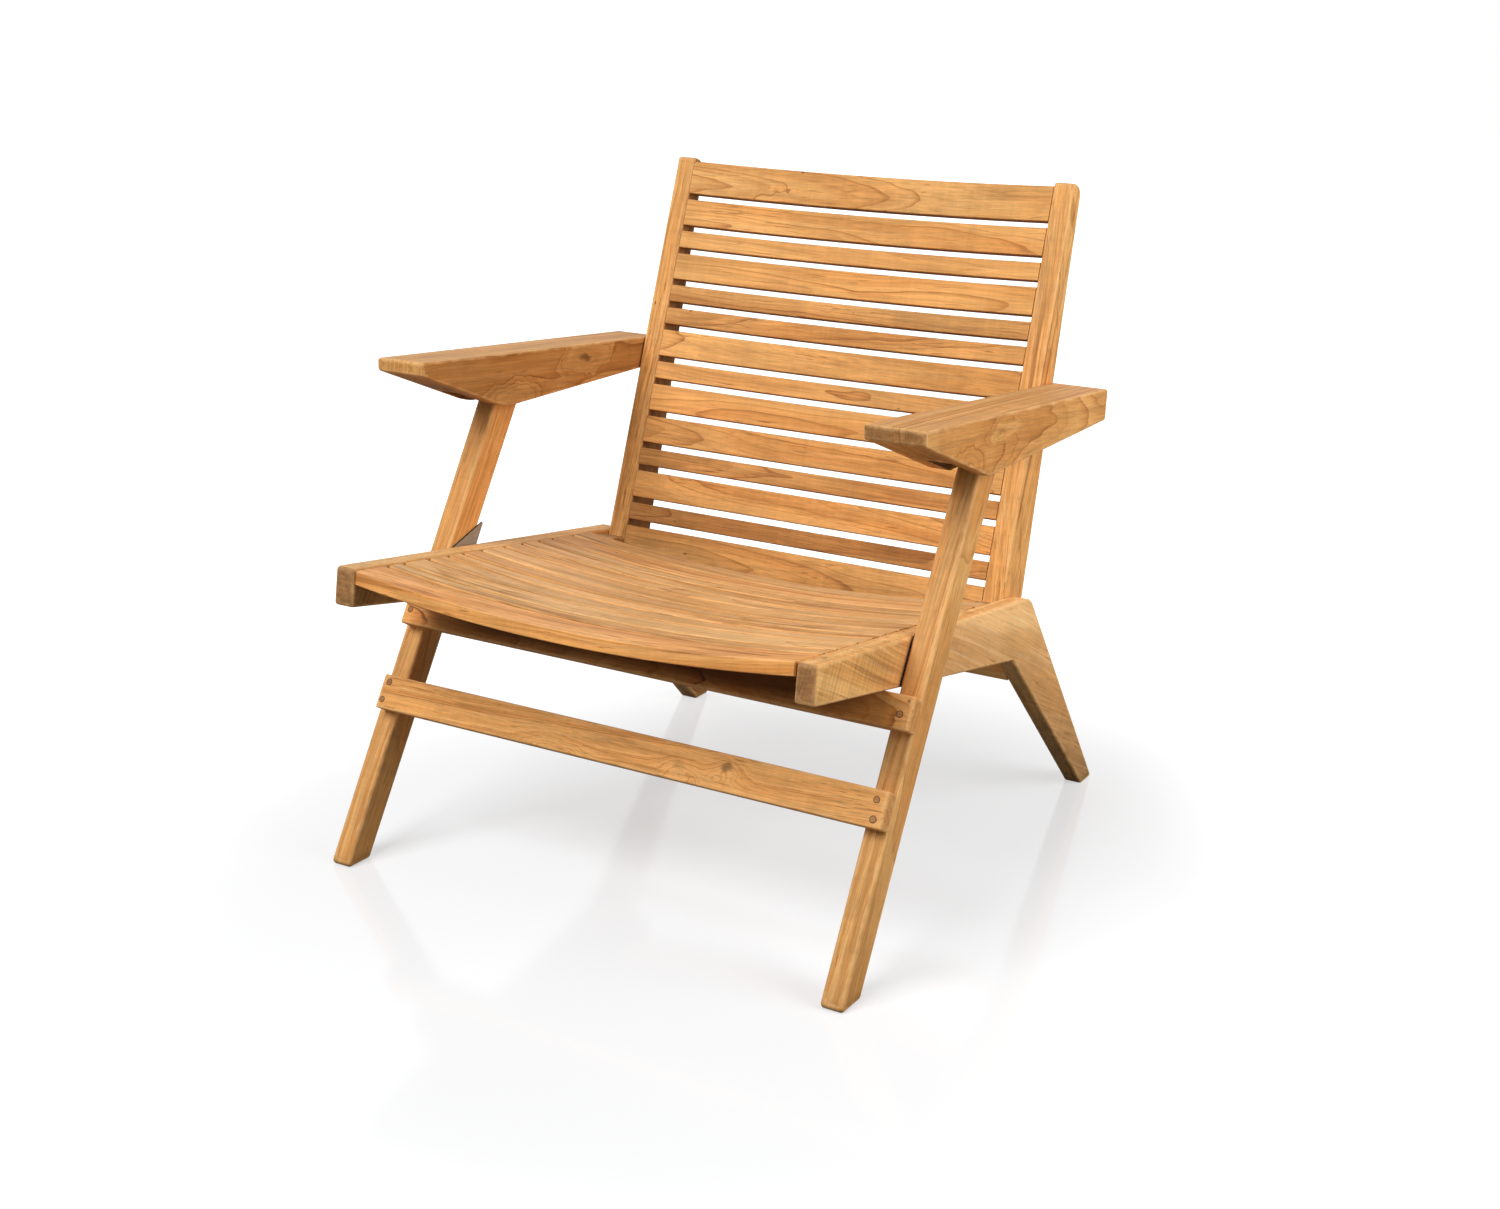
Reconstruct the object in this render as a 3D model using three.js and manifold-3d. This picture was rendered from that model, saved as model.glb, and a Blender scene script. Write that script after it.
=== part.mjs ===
// A low folding armchair in teak. Two side frames carry a dished slatted seat and end in the rear legs.
// The front legs stand outside the side frames and reach up into two wedge armrests.
// A slatted back stands between the side frames. Back, armrests and front legs turn together as the chair folds.
// Millimetres, +Z up, the sitter faces -Y, +X is the sitter's left hand.
import * as THREE from "three";
import { mergeVertices } from "three/addons/utils/BufferGeometryUtils.js";
import Module from "manifold-3d";

const wasm = await Module();
wasm.setup();

// Clearances
const restGap = 0.3; // between pieces that are glued or screwed together
const turnGap = 0.5; // between faces that turn past each other
const pinPlay = 0.3; // round a pin in its hole
const cutOverrun = 5; // how far a cutter runs past the face it opens

// Side frame: one board cut as seat rail and rear leg
const seatHeight = 372.3; // top of the rail at its front end
const railNose = 5.4; // the rail's front top edge stands this far ahead of the front feet
const railNoseHeight = 42.2; // height of the rail's front end
const railNoseLean = 5.8; // the front end's lower edge stands this far ahead of its upper edge
const humpDepth = 522.4; // corner where the rail's top meets the rear leg's back edge
const humpFall = 68.1; // how far that corner lies below the rail's front end
const humpRound = 24;
const crotchDepth = 475.1; // corner where the rail's underside meets the rear leg's front edge
const crotchFall = 134.1;
const rearFootDepth = 714.2; // front edge of the rear foot
const rearFootLength = 34;
const railThickness = 24.5;
const edgeRound = 2.4; // worn edge on the boards
const cornerRound = 4; // worn corner on the boards' outlines

// Seat: dished slats between the side frames
const seatWidth = 575.6; // clear width between the side frames
const seatDip = 18; // how far the slats dip in the middle
const seatSlatThickness = 16;
const seatSlatGap = 6;
const seatFrontSlat = 50.5;
const seatWideSlat = 39;
const seatMiddleSlat = 29.6;
const seatNarrowSlat = 22.4;
const seatSlatEdge = 2;
const seatSlatPattern = ["front", "narrow", "wide", "middle", "narrow", "middle"].concat(
  ["wide", "middle", "middle", "narrow", "wide", "wide"],
);

// Rear cross rail between the rear legs
const crossRailWidth = 45;
const crossRailThickness = 20;
const crossRailDrop = 52.5; // down the rear leg's front edge from the crotch
const crossRailInset = 1; // behind the rear leg's front edge

// Front legs and their two stretchers
const legLean = THREE.MathUtils.degToRad(29.76);
const legDepth = 34.9;
const legThickness = 24;
const legPivotDrop = 41.5; // the pivot on the side frame lies this far below the rail's top edge
const armPivotRise = 276.4; // along the leg, from that pivot up to the pivot in the armrest
const stretcherWidth = 38;
const stretcherThickness = 20;
const stretcherDrop = 27.7; // along the leg, from the pivot down to the upper stretcher
const stretcherSpacing = 65.6; // between the two stretchers
const lowerStretcherInset = 2.5; // it stops short of the legs' outer faces
const stretcherEdge = 2.2;

// Plates between the front legs and the side frames
const plateThickness = 6;
const plateReach = 11.5; // how far the plate shows behind the leg
const plateTip = 88.2; // along the leg, from the pivot up to the plate's upper tip
const plateSlant = THREE.MathUtils.degToRad(49); // its upper edge, from square to the leg
const plateFoot = 17.3; // and from the pivot down to the plate's lower end
const plateRound = 2;

// Back frame
const backLean = THREE.MathUtils.degToRad(19.1);
const backPivotGap = 19.1; // the back's pivot lies this far behind the last seat slat
const backPivotDrop = 16.7; // and this far below the rail's top edge
const backRise = 532.6; // from the back's pivot up to the stile's top
const stileThickness = 26.5;
const stileTopDepth = 24.5;
const stileFootDepth = 61;
const stileTail = 18; // how far the stile runs below the pivot
const stileTailTrim = 16; // the stile's lower rear corner is cut back by this much
const stileTopRound = 14;
const stileSeat = 19.4; // the pivot stands this far ahead of the stile's front face
const toeRadius = 12; // round end of the toe that carries the pivot
const backDip = 18; // middle of the slats behind their ends
const backSlatThickness = 14;
const backSlatGap = 7.85;
const backTopSlat = 44.6;
const backWideSlat = 35.5;
const backNarrowSlat = 22.9;
const backSlatEdge = 1.6;
const backTopShow = 5.4; // the stile stands this far above the top slat
const backSlatPattern = ["top", "wide", "narrow", "wide", "narrow", "narrow", "wide"].concat(
  ["narrow", "wide", "wide", "narrow", "wide", "narrow", "wide"],
);

// Armrests
const armFrontReach = 209.3; // from the front pivot to the front end's top edge
const armFrontRise = 45.6;
const armFrontHeight = 16;
const armTailReach = 9.9; // from the rear pivot to the rear end's top edge
const armTailRise = 17.3;
const armRearHeight = 37.6;
const armRearLean = 4.4; // the rear end's lower edge stands this far ahead of its upper edge
const armApexReach = 53.1; // the deepest point stands this far ahead of the front pivot
const armApexDrop = 32.3;
const armLip = 17.8; // wood outside the leg
const armEdge = 2;
const armCornerRound = 3.5;
const armApexRound = 16;
const armSpacer = 1; // spacer between stile and armrest
const spacerRadius = 10;
const slotFrontReach = 113; // the slot under the armrest starts this far ahead of the pivot
const slotStep = 4; // height of the slot's front end
const slotPlay = 1; // beside, above and behind the leg in its slot

// Pivot pins
const pinRadius = 4;
const pinGrip = 20; // how deep each pin sits in the wood at either end
const pinSides = 16;

// How far the chair folds
const foldLimit = THREE.MathUtils.degToRad(97.5);

// Widths, from the middle of the chair outwards
const railInner = seatWidth / 2;
const railOuter = railInner + railThickness;
const plateInner = railOuter + turnGap;
const plateOuter = plateInner + plateThickness;
const legInner = plateOuter + restGap;
const legOuter = legInner + legThickness;
const armOuter = legOuter + armLip;
const stileOuter = railInner - turnGap;
const stileInner = stileOuter - stileThickness;
const armInner = stileOuter + restGap + armSpacer + turnGap;

// The seat's length along the rails
const seatSlatWidths = {
  front: seatFrontSlat,
  wide: seatWideSlat,
  middle: seatMiddleSlat,
  narrow: seatNarrowSlat,
};
const seatLength = seatSlatPattern.reduce((sum, kind) => sum + seatSlatWidths[kind] + seatSlatGap, -seatSlatGap);

// Pivots in the side view, as [depth, height]
const along = (run, depth) => [
  run * Math.sin(legLean) + depth * Math.cos(legLean),
  run * Math.cos(legLean) - depth * Math.sin(legLean),
];
const seatSlope = Math.atan2(humpFall, humpDepth + railNose);
const railTop = (depth) => seatHeight - (depth + railNose) * Math.tan(seatSlope);
const footAxis = along(0, legDepth / 2);
const legPivotRun =
  (railTop(footAxis[0]) - legPivotDrop - footAxis[1]) /
  (Math.cos(legLean) + Math.tan(seatSlope) * Math.sin(legLean));
const armPivotRun = legPivotRun + armPivotRise;
const upperStretcherRun = legPivotRun - stretcherDrop - stretcherWidth;
const lowerStretcherRun = upperStretcherRun - stretcherSpacing - stretcherWidth;
const legPivot = along(legPivotRun, legDepth / 2);
const armPivot = along(armPivotRun, legDepth / 2);
const backPivotDepth = seatLength * Math.cos(seatSlope) - railNose + backPivotGap;
const backPivot = [backPivotDepth, railTop(backPivotDepth) - backPivotDrop];
// Armrest, back, side frame and leg turn as a parallelogram, so the armrest's pivots lie as the lower two do.
const armSpan = [backPivot[0] - legPivot[0], backPivot[1] - legPivot[1]];

const woodColours = {
  frame: 0xb98152,
  seat: 0xc08a58,
  leg: 0xb57a4a,
  back: 0xb8743f,
  arm: 0xa8744a,
};
const wood = (colour) => new THREE.MeshStandardMaterial({ color: colour, roughness: 0.75, metalness: 0 });
const steel = () => new THREE.MeshStandardMaterial({ color: 0x8d8f90, roughness: 0.4, metalness: 1 });
const darkSteel = () => new THREE.MeshStandardMaterial({ color: 0x5a5a58, roughness: 0.5, metalness: 1 });

// A closed outline from corners given as [x, y, radius], with each radius as an arc.
function outline(corners) {
  const shape = new THREE.Shape();
  corners.forEach(([x, y, radius], i) => {
    const corner = new THREE.Vector2(x, y);
    const before = new THREE.Vector2(...corners.at(i - 1)).sub(corner).normalize();
    const after = new THREE.Vector2(...corners[(i + 1) % corners.length]).sub(corner).normalize();
    if (!radius) {
      shape[i ? "lineTo" : "moveTo"](x, y);
      return;
    }
    const half = Math.acos(THREE.MathUtils.clamp(before.dot(after), -1, 1)) / 2;
    const start = corner.clone().addScaledVector(before, radius / Math.tan(half));
    const middle = before.clone().add(after).normalize();
    const centre = corner.clone().addScaledVector(middle, radius / Math.sin(half));
    const end = corner.clone().addScaledVector(after, radius / Math.tan(half));
    const turn = before.cross(after) > 0;
    shape[i ? "lineTo" : "moveTo"](start.x, start.y);
    shape.absarc(
      centre.x,
      centre.y,
      radius,
      Math.atan2(start.y - centre.y, start.x - centre.x),
      Math.atan2(end.y - centre.y, end.x - centre.x),
      turn,
    );
  });
  shape.closePath();
  return shape;
}

// A board with a side-view outline, lying between two widths, its edges cut at the given size.
function board(shape, inner, outer, edge, arcSteps = 4) {
  const geometry = new THREE.ExtrudeGeometry(shape, {
    depth: outer - inner - 2 * edge,
    bevelEnabled: edge > 0,
    bevelThickness: edge,
    bevelSize: edge,
    bevelOffset: -edge,
    bevelSegments: 1,
    curveSegments: arcSteps,
  });
  geometry.translate(0, 0, inner + edge);
  return sideOn(geometry);
}

// Turns a shape drawn in depth and height, and extruded, so that it is extruded along X.
function sideOn(geometry) {
  const across = new THREE.Vector3(1, 0, 0);
  const rearward = new THREE.Vector3(0, 1, 0);
  const upward = new THREE.Vector3(0, 0, 1);
  return geometry.applyMatrix4(new THREE.Matrix4().makeBasis(rearward, upward, across));
}

function solidOf(geometry) {
  const bare = geometry.clone();
  bare.deleteAttribute("normal");
  bare.deleteAttribute("uv");
  const merged = mergeVertices(bare);
  return new wasm.Manifold(
    new wasm.Mesh({
      numProp: 3,
      vertProperties: merged.attributes.position.array,
      triVerts: new Uint32Array(merged.index.array),
    }),
  );
}

function geometryOf(solid) {
  const { numProp, numVert, vertProperties, triVerts } = solid.getMesh();
  const positions = new Float32Array(numVert * 3);
  for (let i = 0; i < numVert; i++) {
    positions.set(vertProperties.subarray(i * numProp, i * numProp + 3), i * 3);
  }
  const indexed = new THREE.BufferGeometry();
  indexed.setAttribute("position", new THREE.BufferAttribute(positions, 3));
  indexed.setIndex(new THREE.BufferAttribute(triVerts, 1));
  const geometry = indexed.toNonIndexed();
  geometry.computeVertexNormals();
  return geometry;
}

function cut(geometry, cutters) {
  return geometryOf(cutters.reduce((left, cutter) => left.subtract(solidOf(cutter)), solidOf(geometry)));
}

// A round bar along X between two widths, at a place in the side view.
function bar(radius, from, to, [depth, height]) {
  const geometry = new THREE.CylinderGeometry(radius, radius, Math.abs(to - from), pinSides);
  geometry.rotateZ(Math.PI / 2);
  geometry.translate((from + to) / 2, depth, height);
  return geometry;
}

// The hole for a pin, open past one face and a little longer than the pin at its blind end.
const hole = (blindEnd, openEnd, place) => {
  const outwards = Math.sign(openEnd - blindEnd);
  return bar(pinRadius + pinPlay, blindEnd - outwards * restGap, openEnd + outwards * cutOverrun, place);
};

function piece(name, geometry, material, parent) {
  const mesh = new THREE.Mesh(geometry, material);
  mesh.name = name;
  parent.add(mesh);
  return mesh;
}

// Left and right copies of a piece that is made for the +X side.
const sides = [
  ["left", 1],
  ["right", -1],
];

function pair(name, geometry, material, parent) {
  for (const [side, sign] of sides) {
    piece(name + "_" + side, sign > 0 ? geometry : mirrored(geometry), material(), parent);
  }
}

function mirrored(geometry) {
  const copy = geometry.index ? geometry.toNonIndexed() : geometry.clone();
  copy.scale(-1, 1, 1);
  const place = copy.getAttribute("position");
  for (let i = 0; i < place.count; i += 3) {
    const held = [place.getX(i), place.getY(i), place.getZ(i)];
    place.setXYZ(i, place.getX(i + 1), place.getY(i + 1), place.getZ(i + 1));
    place.setXYZ(i + 1, ...held);
  }
  copy.computeVertexNormals();
  return copy;
}

// Side frames

function makeSideFrames(parent) {
  const shape = outline([
    [-railNose, seatHeight, cornerRound],
    [-railNose - railNoseLean, seatHeight - railNoseHeight, cornerRound],
    [crotchDepth, seatHeight - crotchFall, cornerRound],
    [rearFootDepth, 0, cornerRound],
    [rearFootDepth + rearFootLength, 0, cornerRound],
    [humpDepth, seatHeight - humpFall, humpRound],
  ]);
  const holes = [
    hole(railOuter - pinGrip, railOuter, legPivot),
    hole(railInner + pinGrip, railInner, backPivot),
  ];
  pair("side_frame", cut(board(shape, railInner, railOuter, edgeRound), holes), () => wood(woodColours.frame), parent);
}

// A slat across the chair, dished between its ends, that starts at zero and is laid with its face towards a direction.

function slatGeometry(halfSpan, dip, thickness, width, edge, face) {
  const radius = (halfSpan ** 2 + dip ** 2) / (2 * dip);
  const rise = radius - dip;
  const reach = Math.asin(halfSpan / radius);
  const lowerRadius = radius + thickness;
  const lowerReach = Math.asin(halfSpan / lowerRadius);
  const down = -Math.PI / 2;
  const shape = new THREE.Shape();
  shape.absarc(0, rise, radius, down + reach, down - reach, true);
  shape.absarc(0, rise, lowerRadius, down - lowerReach, down + lowerReach, false);
  shape.closePath();
  const geometry = new THREE.ExtrudeGeometry(shape, {
    depth: width - 2 * edge,
    bevelEnabled: true,
    bevelThickness: edge,
    bevelSize: edge,
    bevelOffset: -edge,
    bevelSegments: 1,
    curveSegments: 10,
  });
  geometry.translate(0, 0, -width + edge);
  const across = new THREE.Vector3(1, 0, 0);
  const sidewards = across.clone().cross(face);
  return geometry.applyMatrix4(new THREE.Matrix4().makeBasis(across, face, sidewards));
}

// Seat slats, laid from the front along the rails' top edges

function makeSeat(parent) {
  const seat = new THREE.Group();
  seat.position.set(0, -railNose, seatHeight);
  seat.rotation.x = -seatSlope;
  parent.add(seat);
  const upward = new THREE.Vector3(0, 0, 1);
  const halfSpan = railInner - restGap;
  let start = 0;
  seatSlatPattern.forEach((kind, i) => {
    const number = String(i + 1).padStart(2, "0");
    const width = seatSlatWidths[kind];
    const geometry = slatGeometry(halfSpan, seatDip, seatSlatThickness, width, seatSlatEdge, upward);
    piece("seat_slat_" + number, geometry, wood(woodColours.seat), seat).position.y = start;
    start += width + seatSlatGap;
  });
}

// Rear cross rail, its narrow side along the rear legs' front edges

function makeCrossRail(parent) {
  const crotchHeight = seatHeight - crotchFall;
  const lean = Math.atan2(rearFootDepth - crotchDepth, crotchHeight);
  const shape = outline([
    [crossRailInset, -crossRailDrop - crossRailThickness / 2, edgeRound],
    [crossRailInset + crossRailWidth, -crossRailDrop - crossRailThickness / 2, edgeRound],
    [crossRailInset + crossRailWidth, -crossRailDrop + crossRailThickness / 2, edgeRound],
    [crossRailInset, -crossRailDrop + crossRailThickness / 2, edgeRound],
  ]);
  const halfSpan = railInner - restGap;
  const rail = piece("rear_cross_rail", board(shape, -halfSpan, halfSpan, 0, 2), wood(woodColours.frame), parent);
  rail.position.set(0, crotchDepth, crotchHeight);
  rail.rotation.x = lean;
}

// Front legs with plates and stretchers, in a frame that leans with the legs

function makeLegs(parent) {
  const legs = new THREE.Group();
  legs.rotation.x = -legLean;
  parent.add(legs);
  const heel = legDepth * Math.tan(legLean);
  const legShape = outline([
    [0, 0, 0],
    [legDepth, heel, 0],
    [legDepth, armPivotRun + legDepth / 2, legDepth / 2 - restGap],
    [0, armPivotRun + legDepth / 2, legDepth / 2 - restGap],
  ]);
  const centre = legDepth / 2;
  const legHoles = [
    hole(legInner + pinGrip, legInner, [centre, legPivotRun]),
    bar(pinRadius + pinPlay, legInner - cutOverrun, legOuter + cutOverrun, [centre, armPivotRun]),
  ];
  const leg = cut(board(legShape, legInner, legOuter, edgeRound, 6), legHoles);
  pair("front_leg", leg, () => wood(woodColours.leg), legs);

  const plateBack = legDepth + plateReach;
  const plateShape = outline([
    [edgeRound, legPivotRun - plateFoot, plateRound],
    [plateBack, legPivotRun - plateFoot, plateRound],
    [plateBack, legPivotRun + plateTip, plateRound],
    [edgeRound, legPivotRun + plateTip - (plateBack - edgeRound) * Math.tan(plateSlant), plateRound],
  ]);
  const plateHole = bar(pinRadius + pinPlay, plateInner - cutOverrun, plateOuter + cutOverrun, [centre, legPivotRun]);
  pair("leg_plate", cut(board(plateShape, plateInner, plateOuter, 0, 2), [plateHole]), darkSteel, legs);

  for (const [name, run, reach] of [
    ["lower_stretcher", lowerStretcherRun, legOuter - lowerStretcherInset],
    ["upper_stretcher", upperStretcherRun, legOuter],
  ]) {
    const shape = outline([
      [-stretcherThickness - restGap, run, stretcherEdge],
      [-restGap, run, stretcherEdge],
      [-restGap, run + stretcherWidth, stretcherEdge],
      [-stretcherThickness - restGap, run + stretcherWidth, stretcherEdge],
    ]);
    piece(name, board(shape, -reach, reach, stretcherEdge / 2, 2), wood(woodColours.leg), legs);
  }
}

// Back frame, in a frame at the back's pivot that leans with the back

function makeBack(parent) {
  const back = new THREE.Group();
  back.position.set(0, ...backPivot);
  back.rotation.x = -backLean;
  parent.add(back);
  const front = stileSeat;
  const stileShape = outline([
    [front, backRise, cornerRound],
    [front + stileTopDepth, backRise, stileTopRound],
    [front + stileFootDepth, -stileTail + stileTailTrim, stileTailTrim],
    [front + stileFootDepth - stileTailTrim, -stileTail, stileTailTrim],
    [front, -stileTail, 0],
    [0, -toeRadius, 0],
    [-toeRadius, -toeRadius, toeRadius - restGap],
    [-toeRadius, toeRadius, toeRadius - restGap],
    [front, toeRadius, 0],
  ]);
  const armPlace = turned([armPivot[0] - legPivot[0], armPivot[1] - legPivot[1]]);
  const holes = [
    hole(stileOuter - pinGrip, stileOuter, [0, 0]),
    hole(stileOuter - pinGrip, stileOuter, armPlace),
  ];
  const stile = cut(board(stileShape, stileInner, stileOuter, edgeRound), holes);
  pair("back_stile", stile, () => wood(woodColours.back), back);

  const widths = { top: backTopSlat, wide: backWideSlat, narrow: backNarrowSlat };
  const forward = new THREE.Vector3(0, -1, 0);
  const halfSpan = stileInner - restGap;
  let top = backRise - backTopShow;
  backSlatPattern.forEach((kind, i) => {
    const number = String(i + 1).padStart(2, "0");
    const width = widths[kind];
    const geometry = slatGeometry(halfSpan, backDip, backSlatThickness, width, backSlatEdge, forward);
    const slat = piece("back_slat_" + number, geometry, wood(woodColours.back), back);
    slat.position.set(0, front, top - width);
    top -= width + backSlatGap;
  });

  const spacerHole = bar(pinRadius + pinPlay, stileOuter, armInner, armPlace);
  const spacer = cut(bar(spacerRadius, stileOuter + restGap, armInner - turnGap, armPlace), [spacerHole]);
  pair("arm_spacer", spacer, steel, back);
}

// A place given from the back's pivot in the upright side view, in the back's leaning frame
function turned([depth, height]) {
  return [
    depth * Math.cos(backLean) - height * Math.sin(backLean),
    depth * Math.sin(backLean) + height * Math.cos(backLean),
  ];
}

// Armrests, in a frame at the pivot in the leg's top

function makeArms(parent) {
  const arms = new THREE.Group();
  arms.position.set(0, ...armPivot);
  parent.add(arms);
  const shape = outline([
    [-armFrontReach, armFrontRise, armCornerRound],
    [-armFrontReach, armFrontRise - armFrontHeight, armCornerRound],
    [-armApexReach, -armApexDrop, armApexRound],
    [armSpan[0] + armTailReach - armRearLean, armSpan[1] + armTailRise - armRearHeight, armCornerRound],
    [armSpan[0] + armTailReach, armSpan[1] + armTailRise, armCornerRound],
  ]);
  // The slot clears the leg's round top and the leg itself all the way from rest to folded.
  const half = legDepth / 2 + slotPlay;
  const folded = foldLimit - legLean;
  const floor = -armApexDrop - cutOverrun;
  const underside = (armFrontRise - armFrontHeight + armApexDrop) / (armFrontReach - armApexReach);
  const slotFront = [-slotFrontReach, -armApexDrop + (slotFrontReach - armApexReach) * underside + slotStep];
  const slotRear = half * Math.cos(folded) + (half * Math.sin(folded) - floor) * Math.tan(folded);
  const ceiling = Math.atan2(slotFront[1], slotFront[0]) + 2 * Math.PI - Math.acos(half / Math.hypot(...slotFront));
  const slotShape = new THREE.Shape();
  slotShape.moveTo(-slotFrontReach, floor);
  slotShape.lineTo(slotRear, floor);
  slotShape.absarc(0, 0, half, folded, ceiling, false);
  slotShape.lineTo(...slotFront);
  slotShape.closePath();
  const slot = board(slotShape, legInner - slotPlay, legOuter + slotPlay, 0, 4);
  const holes = [
    slot,
    bar(pinRadius + pinPlay, legInner - pinGrip, legOuter + armLip / 2, [0, 0]),
    hole(armInner + pinGrip, armInner, armSpan),
  ];
  pair("armrest", cut(board(shape, armInner, armOuter, armEdge), holes), () => wood(woodColours.arm), arms);
}

// Pivot pins

function makePins(parent) {
  const pins = [
    ["leg_pivot_pin", railOuter - pinGrip, legInner + pinGrip, legPivot],
    ["back_pivot_pin", stileOuter - pinGrip, railInner + pinGrip, backPivot],
    ["arm_front_pin", legInner - pinGrip + restGap, legOuter + armLip / 2 - restGap, armPivot],
    ["arm_rear_pin", stileOuter - pinGrip, armInner + pinGrip, [armPivot[0] + armSpan[0], armPivot[1] + armSpan[1]]],
  ];
  for (const [name, from, to, place] of pins) {
    pair(name, bar(pinRadius, from, to, place), steel, parent);
  }
}

const chair = new THREE.Group();
chair.name = "folding_armchair";
const model = new THREE.Group();
model.position.y = -(rearFootDepth + rearFootLength - railNose - railNoseLean) / 2;
chair.add(model);
makeSideFrames(model);
makeSeat(model);
makeCrossRail(model);
makeLegs(model);
makeBack(model);
makeArms(model);
makePins(model);

export default chair;
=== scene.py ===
"""Looks of a folding teak armchair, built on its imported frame. Metres, +Z up, the sitter faces -Y."""

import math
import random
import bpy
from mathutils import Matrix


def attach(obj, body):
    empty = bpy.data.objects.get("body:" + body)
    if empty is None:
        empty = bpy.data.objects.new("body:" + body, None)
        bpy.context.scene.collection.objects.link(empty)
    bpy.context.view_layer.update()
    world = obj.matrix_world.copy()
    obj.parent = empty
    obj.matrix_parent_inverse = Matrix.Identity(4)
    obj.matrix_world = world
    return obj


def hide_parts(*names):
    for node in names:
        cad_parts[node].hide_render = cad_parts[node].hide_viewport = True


bl_info = {
    "name": "Folding Teak Armchair",
    "version": (1, 0, 0),
    "blender": (4, 5, 0),
    "location": "View3D > Sidebar > Armchair",
    "description": "Builds a folding teak armchair with a dished slatted seat and back",
    "category": "Add Mesh",
}

import bmesh
import bpy
import numpy as np
from bpy.props import FloatProperty, FloatVectorProperty, IntProperty, PointerProperty
from mathutils import Matrix, Vector

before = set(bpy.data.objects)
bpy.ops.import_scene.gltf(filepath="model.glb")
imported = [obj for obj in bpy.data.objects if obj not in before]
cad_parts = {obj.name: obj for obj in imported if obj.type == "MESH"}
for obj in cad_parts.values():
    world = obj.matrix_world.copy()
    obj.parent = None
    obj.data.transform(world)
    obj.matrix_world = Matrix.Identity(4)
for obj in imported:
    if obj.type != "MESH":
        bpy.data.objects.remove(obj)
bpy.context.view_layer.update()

MM = 0.001

# Sizes of the chair in millimetres. Places in the side view are depth behind the front feet and height.
FOOTPRINT_MIDDLE = 368.5
REST_GAP = 0.3
FOLD = math.radians(97.5)

# Side frames
RAIL_INNER, RAIL_OUTER = 287.8, 312.3
SEAT_FRONT = (-5.4, 372.3)
NOSE_FOOT = (-11.2, 330.1)
CROTCH = (475.1, 238.2)
HUMP, HUMP_ROUND = (522.4, 304.2), 24
REAR_FOOT, REAR_FOOT_LENGTH = 714.2, 34
SEAT_SLOPE = math.atan2(SEAT_FRONT[1] - HUMP[1], HUMP[0] - SEAT_FRONT[0])
# How far the side frames' grain runs down to the rear, in radians.
RAIL_GRAIN_LEAN = 0.5
# No two boards are quite alike. How much thicker and how much higher in front each side frame is.
RAIL_FULLNESS = {"left": (0.0, 0.0), "right": (3.0, 2.5)}
CROSS_RAIL_INSET, CROSS_RAIL_WIDTH = 1, 45
CROSS_RAIL_THICKNESS, CROSS_RAIL_DROP = 20, 52.5

# Front legs, plates and stretchers. A run is measured along the leg from its foot.
LEG_INNER, LEG_OUTER = 319.1, 343.1
LEG_LEAN = math.radians(29.76)
LEG_DEPTH = 34.9
LEG_CORNER = 5
LEG_PIVOT_RUN = 361.324
ARM_PIVOT_RUN = LEG_PIVOT_RUN + 276.4
# How much thicker each leg is inwards at the foot, inwards at the top and outwards.
LEG_FULLNESS = {"left": (3.0, 5.0, 0.0), "right": (0.0, 1.2, 3.0)}
# How much deeper each leg is behind at the foot and under the armrest.
LEG_SWELL = {"left": (3.0, 7.0), "right": (0.5, 9.0)}
SWELL_END = 24
PLATE_FACES = {"left": (312.8, 314.7), "right": (315.7, 318.0)}
PLATE_FRONT, PLATE_REACH, PLATE_EDGE = 2.4, 11.5, 0.6
PLATE_FOOT, PLATE_TIP = 17.3, 88.2
PLATE_SLANT = math.radians(49)
STRETCHER_WIDTH, STRETCHER_THICKNESS = 38, 20
UPPER_STRETCHER_RUN = LEG_PIVOT_RUN - 27.7 - STRETCHER_WIDTH
LOWER_STRETCHER_RUN = UPPER_STRETCHER_RUN - 65.6 - STRETCHER_WIDTH
LOWER_STRETCHER_INSET, LOWER_STRETCHER_FULLNESS = 2.5, 1.5
# How far both stretchers' right and left ends lie to the left of their even places.
STRETCHER_SHIFT = (2.4, 2.2)
PLUG_RISE, PLUG_DEPTH = 0.25, -20.35
# Across the chair and up the leg, and how wide against the plug radius.
PLUGS = (
    (-330.4, 313, 0.95),
    (331.8, 312.2, 1),
    (338.6, 327.7, 0.35),
    (330.8, 220.3, 0.95),
    (332.3, 199.7, 1),
    (-327.7, 222.8, 1),
    (-330.6, 201.2, 0.95),
)

# Back frame
STILE_INNER, STILE_OUTER = 260.8, 287.3
BACK_LEAN = math.radians(19.1)
BACK_RISE, BACK_TOP_SHOW = 532.6, 5.4
STILE_SEAT = 19.4
STILE_TOP_DEPTH, STILE_FOOT_DEPTH = 24.5, 61
STILE_TOP_ROUND, STILE_TAIL, STILE_TAIL_TRIM = 14, 18, 16
TOE_RADIUS = 12

# Armrests, measured from their front pivots, and their tails from the rear ones
ARM_INNER, ARM_OUTER = 289.1, 360.9
ARM_FRONT_REACH, ARM_FRONT_RISE, ARM_FRONT_HEIGHT = 209.3, 45.6, 16
ARM_TAIL_REACH, ARM_TAIL_RISE = 9.9, 17.3
ARM_REAR_HEIGHT, ARM_REAR_LEAN = 37.6, 4.4
ARM_APEX_REACH, ARM_APEX = 53.1, -32.3
ARM_CORNER = 3.5
SLOT_FRONT, SLOT_FLOOR = -113, -42.3
SLOT_STEP, SLOT_PLAY = 4, 1
SLOT_ARC_STEPS = 12
# How much darker the slot's new walls are: painted shade inside the slot.
SLOT_PAINTED_SHADE = 1.8

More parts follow.
